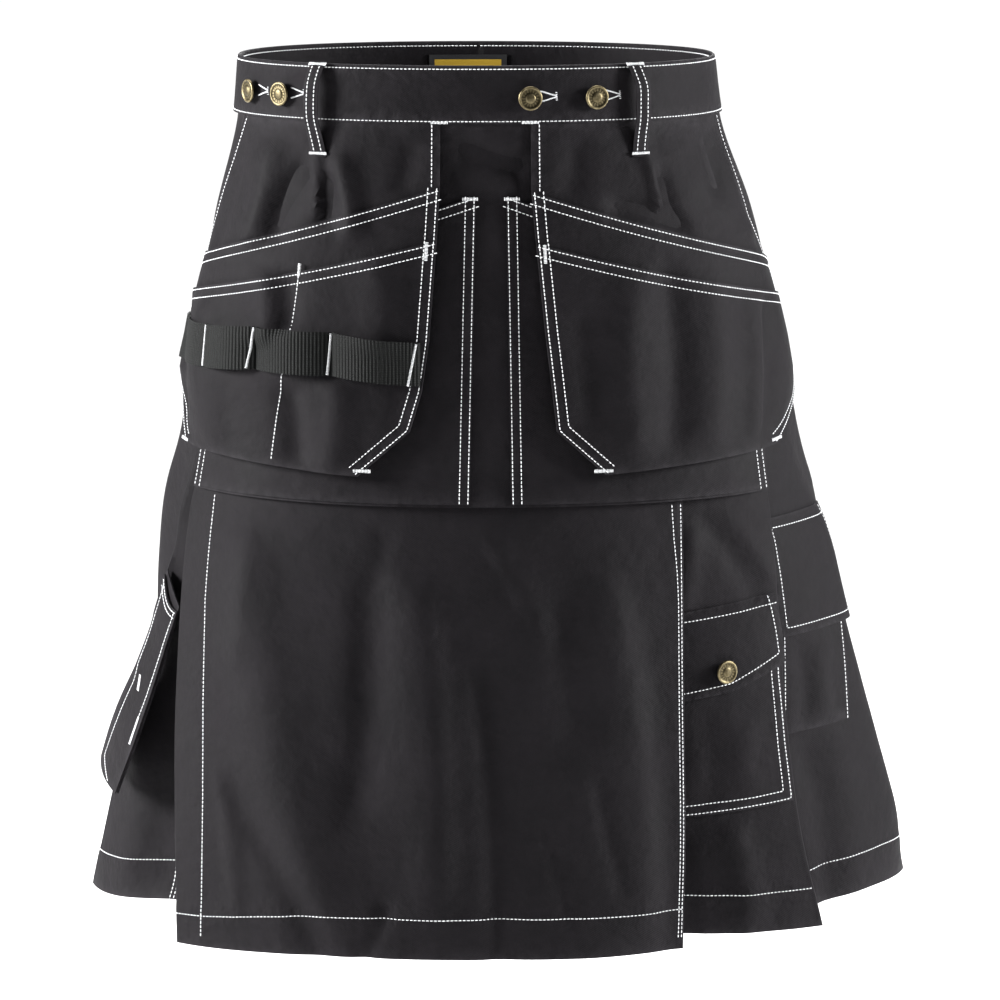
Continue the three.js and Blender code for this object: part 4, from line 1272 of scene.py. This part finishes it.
def strap_top(girth):
    return np.interp(girth, STRAP_TACKS, STRAP_TOPS)


def tool_strap():
    lie = holster_lie("left", "holster_outer_pocket")
    steps = np.arange(STRAP_STEPS * (len(STRAP_TACKS) - 1) + 1) / STRAP_STEPS
    girth = np.interp(steps, np.arange(len(STRAP_TACKS)), STRAP_TACKS)[None, :]
    z = strap_top(girth) - np.linspace(0, STRAP_HEIGHT, STRAP_ROWS)[:, None]
    girth = np.broadcast_to(girth, z.shape)
    out = lie(girth, z) + STRAP_LIFT + strap_bow(girth)
    shell(
        "tool_strap", girth, z, out, ply=STRAP_PLY, looks=("webbing", "webbing"),
    )
    sewing = Sewing(lambda g, z: place(g, z, lie(g, z) + STRAP_LIFT + STRAP_FACE + strap_bow(g)))
    for tack, lean in zip(STRAP_TACKS, STRAP_LEANS):
        inset = STRAP_TACK_INSET * ((tack == STRAP_TACKS[0]) - (tack == STRAP_TACKS[-1]))
        start, top = tack + inset, strap_top(tack)
        sewing.tack((start, top - 1), (start - lean, top - STRAP_HEIGHT + 1), width=STRAP_TACK_WIDTH)
    sewing.finish("tool_strap")


def flat_across(girth, aside, z, out):
    """Points beside a girth on the tangent plane there, so that a stiff strip stays flat across."""
    here = place(girth, z, out)
    normal = here - place(girth, z, 0 * out)
    normal /= np.linalg.norm(normal, axis=-1, keepdims=True)
    tangent = np.stack([-normal[..., 1], normal[..., 0], 0 * normal[..., 0]], axis=-1)
    return here + tangent * aside[..., None]


def belt_loop(name, girth, drift, foot, top, bow, lean):
    side = 1 if girth > 0 else -1
    stations = Table(
        "z out",
        (top, BAND_OUT + 1.2),
        (top - 6, BAND_OUT + 5.4),
        (4, BAND_OUT + LOOP_BULGE),
        (-14, BAND_OUT + LOOP_BULGE),
        (-30, BAND_OUT + 4.6),
        (LOOP_FOOT + 3, foot + 0.6),
        (LOOP_END, foot),
    )

    def middle(z):
        down = np.clip((top - z) / (top - LOOP_FOOT), 0, 1)
        aside = bow * np.sin(np.pi * down) + lean * (1 - ease(down / LOOP_LEAN_REACH))
        return girth + aside + side * drift * (half_girth(z, side) - half_girth(0, side))

    z = np.linspace(top, LOOP_END, LOOP_GRID[0])[:, None]
    aside = np.linspace(-LOOP_WIDTH / 2, LOOP_WIDTH / 2, LOOP_GRID[1])[None, :]
    z, aside = np.broadcast_arrays(z, aside)
    crown = LOOP_CROWN * (1 - (2 * np.abs(aside) / LOOP_WIDTH) ** 4)
    points = flat_across(middle(z), aside, z, stations.at("out", z) + crown - LOOP_SETBACK)
    # edge: nearness to the loop's sides, where the twill paints a lighter sheen
    edge = np.exp((np.abs(aside) - LOOP_WIDTH / 2) / LOOP_EDGE_REACH)
    mesh = ply_mesh(
        f"cloth_belt_loop_{name}", points, LOOP_PLY, np.stack([aside, z, 0 * z], axis=-1),
        edge=edge, pucker=np.full(z.shape, LOOP_PUCKER),
    )
    loop = add_piece(f"cloth_belt_loop_{name}", mesh, "twill", [f"belt_loop_{name}"])
    sewing = Sewing(lambda u, v: flat_across(middle(v), u, v, stations.at("out", v) + LOOP_FACE))
    for aside in LOOP_ROWS:
        sewing.row([(aside, top - 0.5), (aside, LOOP_FOOT - 2)])
    for height in (top - 1.6, LOOP_FOOT - 0.6):
        sewing.tack((-LOOP_TACK_REACH, height), (LOOP_TACK_REACH, height), width=2.2)
    sewing.finish(f"belt_loop_{name}")


POCKET_ROWS = 12
POCKET_COLUMNS = 30


def pocket_rows(table, panel_lie, relief, point):
    last = len(table.key) - 1
    row = np.linspace(0, last, POCKET_ROWS * last + 1)[:, None]
    across = np.linspace(0, 1, POCKET_COLUMNS)[None, :]
    girth, z = pocket_spot(table, point, row, across)
    return girth, z, pocket_out(table, panel_lie, relief, point, row, across)


def pocket_corners(table, point):
    """The paths down a pocket's front edge, down its rear edge and along its foot."""
    front, rear = (
        list(zip(table.values[edge].tolist(), table.values[f"{edge}Z"].tolist()))
        for edge in ("front", "rear")
    )
    foot = [front[-1], rear[-1]]
    if point:
        share = (point["girth"] - front[-1][0]) / (rear[-1][0] - front[-1][0])
        foot.insert(1, (point["girth"], mix(front[-1][1], rear[-1][1], share) - point["drop"]))
    return front, rear, foot


def body_pocket(name, table, panel_lie, relief, panel, point=None, around=(), sides=(), top=()):
    """A pocket or flap on a body panel; around, sides and top are the insets of its stitch rows."""
    girth, z, out = pocket_rows(table, panel_lie, relief, point)
    front, rear, foot = pocket_corners(table, point)
    lines = [(front + foot[1:-1] + rear[::-1], inset) for inset in around]
    lines += [(front, inset) for inset in sides] + [(rear, -inset) for inset in sides]
    lines += [([front[0], rear[0]], -inset) for inset in top]
    shell(name, girth, z, out, [line for line, _ in lines])
    sewing = Sewing(face_of(pocket_lie(table, panel_lie, relief, point)))
    for line, inset in lines:
        sewing.row(line, inset)
    sewing.finish(name)


def body_pockets():
    side = dict(panel_lie=side_right_lie, relief="cargo", panel="cloth_side_panel_right")
    rear = dict(panel_lie=rear_right_lie, relief="phone", panel="cloth_rear_panel_right")
    body_pocket("cargo_pocket", CARGO_BAG, **side, around=(2, 8.2))
    body_pocket("cargo_flap", CARGO_FLAP, **side, point=CARGO_POINT, around=(6,), top=(6.5,))
    body_pocket("phone_pocket", PHONE_BAG, **rear, sides=(2.5,))
    body_pocket("phone_flap", PHONE_FLAP, **rear, around=(6,), top=(7,))


RULER_LENGTH = 180
RULER_ACROSS = 30
RULER_MOUTH = 5
RULER_PLIES = {"ruler_pocket_back": (0, 0), "ruler_pocket_front": (RULER_LIFT, RULER_MOUTH)}
# Rows of stitches, as places across from the rear edge and down from the mouth
RULER_STITCHES = ([(4, 3), (4, 84), (8, 96), (9, 168), (22, 178)], [(27, 3), (27, 136)])
RULER_MOUTH_STITCHES = [(1, 2.5), (29, 2.5)]


def ruler_spot(across, row, lift, mouth):
    """Girth, height and out of the ruler pocket at a share across it, from its rear edge, and a row."""
    bow = np.sin(np.pi * across)
    girth = mix(RULER.straight("rear", row), RULER.straight("front", row), across)
    z = mix(RULER.straight("rearZ", row), RULER.straight("frontZ", row), across)
    out = mix(RULER.at("rearOut", row), RULER.at("frontOut", row), across)
    return girth, z - mouth * (0.6 + bow) * ease(1 - row), out + lift * (1 + 0.5 * bow)


def ruler_pocket():
    last = len(RULER.key) - 1
    row = np.linspace(0, last, 45)[:, None]
    across = np.linspace(0, 1, 12)[None, :]
    for name, (lift, mouth) in RULER_PLIES.items():
        girth, z, out = ruler_spot(across, row, lift, mouth)
        shell(name, girth, z, out, ply=RULER_PLY)

    def surface(u, v):
        row = np.clip(last * np.asarray(v, float) / RULER_LENGTH, 0, last)
        share = np.clip(np.asarray(u, float) / RULER_ACROSS, 0, 1)
        girth, z, out = ruler_spot(share, row, RULER_LIFT, RULER_MOUTH)
        return place(girth, z, out + RULER_PLY / 2)

    sewing = Sewing(surface)
    for path in RULER_STITCHES:
        sewing.row(path)
    sewing.rows(RULER_MOUTH_STITCHES, (0, 5.5))
    sewing.tack((27, 112), (27.3, 138), width=1.3)
    sewing.tack((13, 86), (17, 96), width=3)
    sewing.finish("ruler_pocket")


BAND_BARS = ((-31, -20), (31, 42))
BAND_BARS_Z = -19
BAND_COLUMNS = 260
BAND_ROW_POINTS = 60
BAND_STITCHES = {
    # face, how it lies, heights of its stitch rows
    "outside": (lambda z: BAND_FACE.at("out", z) - 0.1, (17.6, -18.2)),
    "inside": (lambda z: BAND_BACK.at("out", z) - 0.2, (16.6, -18.2)),
}
BAND_PROFILE = (
    # z, out, edge (where the twill paints a lighter sheen along the rim), pucker
    (-20, BAND_OUT, 1, 1),
    (-10, 4.6, 0, 0.3),
    (0, 4.5, 0, 0),
    (10, 4.4, 0, 0.3),
    (17, 4.3, 0.3, 1),
    (19.2, 4.0, 1, 1),
    (20, 3.3, 1, 1),
    (20.1, 2.7, 1, 1),
    (19.6, 1.9, 1, 1),
    (18, 1.5, 0.3, 1),
    (10, 1.0, 0, 0.3),
    (0, 0.4, 0, 0),
    (-10, -0.4, 0, 0.3),
    (-20, -1.2, 1, 1),
)


def waistband():
    share = np.linspace(-1, 1, BAND_COLUMNS, endpoint=False)[None, :]
    z, out, edge, pucker = np.array(BAND_PROFILE, float).T[:, :, None]
    girth = share * np.where(share < 0, half_girth(z, -1), half_girth(z, 1))
    weave = np.stack([girth, z + 0 * girth, 0 * girth], axis=-1).reshape(-1, 3) * MM
    mesh = new_mesh(
        "cloth_waistband", place(girth, z, out), [turned_quads(*girth.shape, closed=True)], weave=weave,
        edge=np.repeat(edge, BAND_COLUMNS), pucker=np.repeat(pucker, BAND_COLUMNS),
    )
    band = add_piece("cloth_waistband", mesh, "twill", ["waistband"])
    for word, (lie, heights) in BAND_STITCHES.items():
        sewing = Sewing(lambda g, z, lie=lie: place(g, z, lie(z)))
        if word == "outside":
            for start, end in BAND_BARS:
                sewing.tack((start, BAND_BARS_Z), (end, BAND_BARS_Z), width=2.2)
        for height in heights:
            girths = np.linspace(1 - half_girth(height, -1), half_girth(height, 1) - 1, BAND_ROW_POINTS)
            sewing.row([(float(girth), height) for girth in girths])
        if word == "inside":
            sewing.stitches = [(a, b, -up, r) for a, b, up, r in sewing.stitches]
        sewing.finish(f"waistband_{word}")


HOLE_START = 7.5
HOLE_TIP = 18
HOLE_OPENS = 3.6
HOLE_BAR = 5


BUTTON_STEPS = 48
BUTTON_PROFILE = (
    # radius, height, how much patina gathers there
    (0, 0, 1),
    (3.0, 0, 1),
    (3.0, 3.0, 1),
    (7.6, 3.0, 0.8),
    (8.2, 3.4, 0.5),
    (8.4, 4.0, 0.2),
    (8.2, 4.7, 0),
    (7.6, 5.1, 0),
    (7.0, 5.0, 0.3),
    (6.4, 4.5, 1),
    (5.6, 4.35, 0.9),
    (4.6, 4.45, 0.85),
    (3.7, 4.5, 1),
    (3.3, 4.9, 0.4),
    (2.7, 5.2, 0.5),
    (1.4, 5.35, 0.55),
    (0.01, 5.4, 0.5),
)
BUMPS = dict(count=16, radius=5.0, width=0.9, height=0.28, clears=3)


def button(name, girth, z, out):
    """A shank button: a turned profile with a ring of bumps on its face."""
    angle = math.tau * np.arange(BUTTON_STEPS) / BUTTON_STEPS
    radius, height, recess = np.array(BUTTON_PROFILE, float).T[:, :, None]
    ring = np.exp(-(((radius - BUMPS["radius"]) / BUMPS["width"]) ** 2))
    bumps = BUMPS["height"] * np.maximum(0, np.cos(angle * BUMPS["count"])) * ring
    seat = place(girth, z, out)
    normal = place(girth, z, out + 10) - seat
    normal /= np.linalg.norm(normal)
    aside = np.array([-normal[1], normal[0], 0])
    up = np.cross(normal, aside)
    sideways = (radius * np.cos(angle))[..., None] * aside + (radius * np.sin(angle))[..., None] * up
    points = seat + sideways + (height + bumps)[..., None] * normal
    recess = np.clip(recess - bumps * BUMPS["clears"] * (recess > 0.5), 0, 1)
    quads = turned_quads(*bumps.shape)
    mesh = new_mesh(f"metal_{name}", points, [quads], sharp=60, recess=recess.ravel())
    add_piece(f"metal_{name}", mesh, "brass", [name])


def buttonhole(sewing, girth, z):
    """Two rows of close stitches that run together from the button to an upright bar."""
    tip = girth + HOLE_TIP
    for side in (-1, 1):
        start = (girth + HOLE_START, z + side * HOLE_OPENS)
        sewing.tack(start, (tip, z + side * 0.5), width=1.2, pitch=0.7)
    sewing.tack((tip + 0.6, z - HOLE_BAR / 2), (tip + 0.2, z + HOLE_BAR / 2), width=1.4)


def buttons():
    holes = Sewing(lambda g, z: place(g, z, BAND_FACE.at("out", z) + 0.1))
    for word, girth in BAND_BUTTONS.items():
        button(f"button_{word}", girth, BUTTON_Z, BAND_OUT + SEAM_GAP)
        buttonhole(holes, girth, BUTTON_Z + 1)
    holes.finish("buttonholes")
    girth, z = CARGO_BUTTON
    flap_lie = pocket_lie(CARGO_FLAP, side_right_lie, "cargo", CARGO_POINT)
    button("button_cargo_flap", girth, z, float(flap_lie(girth, z)) + PLY / 2 - 0.1)


LABEL_WIDTH = 58
LABEL_TOP = 10
LABEL_FOOT = -16
LABEL_ASIDE = 8
LABEL_LIFT = SEAM_GAP + 0.5


def label():
    z = np.linspace(LABEL_TOP, LABEL_FOOT, 12)[:, None]
    across = np.linspace(1, -1, 24)[None, :] * LABEL_WIDTH / 2
    z, across = np.broadcast_arrays(z, across)
    girth = half_girth(z, 1) - (across - LABEL_ASIDE)
    points = place(girth, z, BAND_BACK.at("out", z) - LABEL_LIFT)
    mesh = ply_mesh("label_plain", points, PLY, np.stack([across, z, 0 * z], axis=-1))
    tag = add_piece("label_plain", mesh, "label", ["label"])


# Materials
class Shader:
    """A material's nodes, made with short calls; a value or another node's socket feeds each input."""

    def __init__(self, name):
        self.material = bpy.data.materials.new(name)
        self.material.use_nodes = True
        self.tree = self.material.node_tree
        self.tree.nodes.clear()
        self.surface = self.tree.nodes.new("ShaderNodeBsdfPrincipled")
        output = self.tree.nodes.new("ShaderNodeOutputMaterial")
        self.tree.links.new(self.surface.outputs["BSDF"], output.inputs["Surface"])

    def feed(self, socket, value):
        if isinstance(value, bpy.types.NodeSocket):
            self.tree.links.new(value, socket)
        else:
            socket.default_value = value

    def set(self, **inputs):
        for key, value in inputs.items():
            self.feed(self.surface.inputs[key.replace("_", " ")], value)

    def attribute(self, name, output="Fac"):
        node = self.tree.nodes.new("ShaderNodeAttribute")
        node.attribute_name = name
        return node.outputs[output]

    def math(self, operation, *values):
        node = self.tree.nodes.new("ShaderNodeMath")
        node.operation = operation
        for socket, value in zip(node.inputs, values):
            self.feed(socket, value)
        return node.outputs[0]

    def noise(self, vector, size, detail=3.0, roughness=0.55):
        """Noise whose grain is about this many metres."""
        node = self.tree.nodes.new("ShaderNodeTexNoise")
        self.feed(node.inputs["Vector"], vector)
        node.inputs["Scale"].default_value = 1 / size
        node.inputs["Detail"].default_value = detail
        node.inputs["Roughness"].default_value = roughness
        return node.outputs["Fac"]

    def ripple(self, vector, direction, pitch):
        """A sine of the length along a direction, from 0 to 1."""
        node = self.tree.nodes.new("ShaderNodeVectorMath")
        node.operation = "DOT_PRODUCT"
        self.feed(node.inputs[0], vector)
        node.inputs[1].default_value = direction
        wave = self.math("SINE", self.math("MULTIPLY", node.outputs["Value"], math.tau / pitch))
        return self.math("MULTIPLY_ADD", wave, 0.5, 0.5)

    def span(self, value, low, high, to_low=0.0, to_high=1.0):
        node = self.tree.nodes.new("ShaderNodeMapRange")
        for socket, number in zip(node.inputs, (value, low, high, to_low, to_high)):
            self.feed(socket, number)
        return node.outputs["Result"]

    def blend(self, share, first, second):
        node = self.tree.nodes.new("ShaderNodeMix")
        node.data_type = "RGBA"
        self.feed(node.inputs[0], share)
        self.feed(node.inputs[6], first)
        self.feed(node.inputs[7], second)
        return node.outputs[2]

    def bump(self, height, depth, strength=1.0, normal=None):
        node = self.tree.nodes.new("ShaderNodeBump")
        node.inputs["Strength"].default_value = strength
        node.inputs["Distance"].default_value = depth
        self.feed(node.inputs["Height"], height)
        if normal is not None:
            self.feed(node.inputs["Normal"], normal)
        return node.outputs["Normal"]


TWILL_DARK = (0.0040, 0.0035, 0.0043, 1)
TWILL_LIGHT = (0.0105, 0.0091, 0.0108, 1)
# Painted sheen: a lighter cloth colour laid along the rims of each piece, as a highlight
TWILL_EDGE_SHEEN = (0.026, 0.024, 0.027, 1)
TWILL_RIB = 0.0011
YARN = 0.0009
THREAD_DARK = (0.55, 0.56, 0.58, 1)
THREAD_LIGHT = (0.86, 0.87, 0.88, 1)
WEBBING_DARK = (0.0018, 0.002, 0.0019, 1)
WEBBING_LIGHT = (0.0085, 0.0095, 0.009, 1)
BRASS_DARK = (0.022, 0.018, 0.010, 1)
BRASS_DULL = (0.11, 0.088, 0.046, 1)
BRASS_BRIGHT = (0.22, 0.185, 0.11, 1)
LABEL_FIELD = dict(reach=0.025, low=-0.0135, high=0.0065)
LABEL_YELLOWS = ((0.42, 0.26, 0.015, 1), (0.66, 0.44, 0.03, 1))
LABEL_BLACKS = ((0.008, 0.008, 0.009, 1), (0.02, 0.02, 0.022, 1))
FLOOR_WHITES = ((0.88, 0.88, 0.88, 1), (0.92, 0.92, 0.92, 1))


def twill():
    shader = Shader("twill")
    weave = shader.attribute("weave", "Vector")
    rib = shader.ripple(weave, (0.5, 0.866, 0), TWILL_RIB)
    yarn = shader.noise(weave, YARN, 2)
    patches = shader.noise(weave, 0.055, 4, 0.6)
    streaks = shader.noise(weave, 0.007, 3, 0.7)
    tone = shader.span(patches, 0.35, 0.65, 0.0, 0.45)
    tone = shader.math("ADD", tone, shader.span(streaks, 0.3, 0.7, 0, 0.3))
    tone = shader.math("ADD", tone, shader.span(yarn, 0.3, 0.7, -0.1, 0.3))
    colour = shader.blend(tone, TWILL_DARK, TWILL_LIGHT)
    # Painted sheen: the edge attribute, broken up by streaks, lightens the cloth towards its rims as a
    # highlight
    edge_sheen = shader.math("MULTIPLY", shader.attribute("edge"), shader.span(streaks, 0.35, 0.65, 0.1, 0.5))
    rough = shader.span(patches, 0.3, 0.7, 0.62, 0.74)
    cloth = shader.math("ADD", shader.math("MULTIPLY", rib, 0.5), shader.math("MULTIPLY", yarn, 0.8))
    normal = shader.bump(cloth, 0.00016, 0.8)
    normal = shader.bump(shader.noise(weave, 0.022, 3, 0.6), 0.0028, 0.55, normal)
    puckers = shader.math("MULTIPLY", shader.noise(weave, 0.0065, 2), shader.attribute("pucker"))
    normal = shader.bump(puckers, 0.0016, 0.6, normal)
    shader.set(
        Base_Color=shader.blend(edge_sheen, colour, TWILL_EDGE_SHEEN), Roughness=rough, Normal=normal,
        Specular_IOR_Level=0.08, Sheen_Weight=0.01, Sheen_Roughness=0.5,
    )
    return shader.material


def thread():
    shader = Shader("thread")
    where = shader.tree.nodes.new("ShaderNodeTexCoord").outputs["Object"]
    fibres = shader.noise(where, 0.0007, 2)
    shader.set(
        Base_Color=shader.blend(shader.span(fibres, 0.3, 0.7), THREAD_DARK, THREAD_LIGHT),
        Roughness=0.6, Normal=shader.bump(fibres, 0.0003, 0.6), Sheen_Weight=0.2,
    )
    return shader.material


def webbing():
    shader = Shader("webbing")
    weave = shader.attribute("weave", "Vector")
    across = shader.ripple(weave, (1, 0, 0), 0.0022)
    along = shader.ripple(weave, (0, 1, 0), 0.0016)
    rib = shader.math("MULTIPLY", across, shader.span(along, 0, 1, 0.45, 1))
    grain = shader.noise(weave, 0.0012, 2)
    tone = shader.math("MULTIPLY", rib, shader.span(grain, 0.25, 0.75, 0.5, 1.2))
    normal = shader.bump(rib, 0.0005, 0.9)
    normal = shader.bump(grain, 0.0003, 0.5, normal)
    shader.set(
        Base_Color=shader.blend(tone, WEBBING_DARK, WEBBING_LIGHT), Roughness=0.6, Normal=normal,
        Specular_IOR_Level=0.1, Sheen_Weight=0.01,
    )
    return shader.material


def brass():
    shader = Shader("brass")
    where = shader.tree.nodes.new("ShaderNodeTexCoord").outputs["Object"]
    patina = shader.noise(where, 0.0022, 3, 0.65)
    recess = shader.attribute("recess")
    dark = shader.math("MULTIPLY", recess, shader.span(patina, 0.2, 0.8, 0.8, 1.1))
    bright = shader.blend(shader.span(patina, 0.35, 0.65), BRASS_DULL, BRASS_BRIGHT)
    shader.set(
        Base_Color=shader.blend(dark, bright, BRASS_DARK), Metallic=1.0,
        Roughness=shader.span(patina, 0.3, 0.7, 0.36, 0.52), Normal=shader.bump(patina, 0.0002, 0.4),
    )
    return shader.material


def label_cloth():
    shader = Shader("label")
    weave = shader.attribute("weave", "Vector")
    node = shader.tree.nodes.new("ShaderNodeSeparateXYZ")
    shader.feed(node.inputs[0], weave)
    across = shader.math("ABSOLUTE", node.outputs[0])
    inside = shader.math("LESS_THAN", across, LABEL_FIELD["reach"])
    low = shader.math("LESS_THAN", node.outputs[1], LABEL_FIELD["high"])
    high = shader.math("GREATER_THAN", node.outputs[1], LABEL_FIELD["low"])
    field = shader.math("MULTIPLY", inside, shader.math("MULTIPLY", low, high))
    warp, weft = shader.ripple(weave, (1, 0, 0), 0.0008), shader.ripple(weave, (0, 1, 0), 0.0006)
    threads = shader.math("MULTIPLY", warp, weft)
    yellow = shader.blend(threads, *LABEL_YELLOWS)
    dark = shader.blend(threads, *LABEL_BLACKS)
    shader.set(
        Base_Color=shader.blend(field, dark, yellow), Roughness=0.55,
        Normal=shader.bump(threads, 0.0001, 0.6),
    )
    return shader.material


def floor_cover():
    shader = Shader("floor")
    where = shader.tree.nodes.new("ShaderNodeTexCoord").outputs["Object"]
    grain = shader.noise(where, 0.4, 4)
    shader.set(Base_Color=shader.blend(grain, *FLOOR_WHITES), Roughness=0.9)
    return shader.material


# Camera, light and floor
CAMERA_AT = (0.016, -3.100, 0.229)
CAMERA_PITCH = 9.79
CAMERA_LENS = 154.9
CAMERA_SENSOR = 36
FAR_END = 200
FLOOR_Z = -1.05
FLOOR_REACH = 80
LIT_Z = -0.3
LIGHTS = (
    # name, place, size, watts
    ("left", (-2.5, -0.42, 0.5), 0.9, 195),
    ("right", (2.5, -0.36, 0.4), 0.9, 140),
    ("back", (0.4, 2.6, 1.0), 1.6, 60),
)
SUN_STRENGTH = 3.7
SUN_ANGLE = 25
SUN_TILT = -20
WORLD_STRENGTH = 0.08


def camera():
    data = bpy.data.cameras.new("camera")
    data.lens, data.sensor_width, data.clip_end = CAMERA_LENS, CAMERA_SENSOR, FAR_END
    holder = linked("camera", data)
    holder.location = CAMERA_AT
    holder.rotation_euler = (math.radians(90 - CAMERA_PITCH), 0, 0)
    bpy.context.scene.camera = holder


def lights():
    for name, (x, y, z), size, watts in LIGHTS:
        lamp = bpy.data.lights.new(name, "AREA")
        lamp.shape, lamp.size, lamp.energy = "DISK", size, watts
        holder = linked(name, lamp)
        holder.location = (x, y, z)
        holder.rotation_euler = (math.atan2(math.hypot(x, y), z - LIT_Z), 0, math.atan2(x, -y))
    sun = bpy.data.lights.new("ceiling", "SUN")
    sun.energy, sun.angle = SUN_STRENGTH, math.radians(SUN_ANGLE)
    linked("ceiling", sun).rotation_euler = (math.radians(SUN_TILT), 0, 0)
    world = bpy.data.worlds.new("studio")
    world.use_nodes = True
    background = world.node_tree.nodes["Background"]
    background.inputs["Color"].default_value = (1, 1, 1, 1)
    background.inputs["Strength"].default_value = WORLD_STRENGTH
    bpy.context.scene.world = world
    bpy.context.scene.view_settings.view_transform = "Standard"


def floor():
    reach, z = FLOOR_REACH / MM, FLOOR_Z / MM
    corners = [(-reach, -reach, z), (reach, -reach, z), (reach, reach, z), (-reach, reach, z)]
    mesh = new_mesh("floor", corners, [np.array([[0, 1, 2, 3]])])
    mesh.materials.append(floor_cover())
    linked("floor", mesh)


MATERIALS = {
    "twill": twill(),
    "thread": thread(),
    "webbing": webbing(),
    "brass": brass(),
    "label": label_cloth(),
}


def kilt():
    waistband()
    apron()
    for name, values in PLEATED_PANELS.items():
        pleated_panel(name, **values)
    back_panel()
    tool_apron()
    for side in ("left", "right"):
        patch_pocket(side)
        holster(side)
    tool_strap()
    for loop in BELT_LOOPS:
        belt_loop(*loop)
    body_pockets()
    ruler_pocket()
    buttons()
    label()


kilt()
camera()
lights()
floor()
bpy.context.view_layer.update()
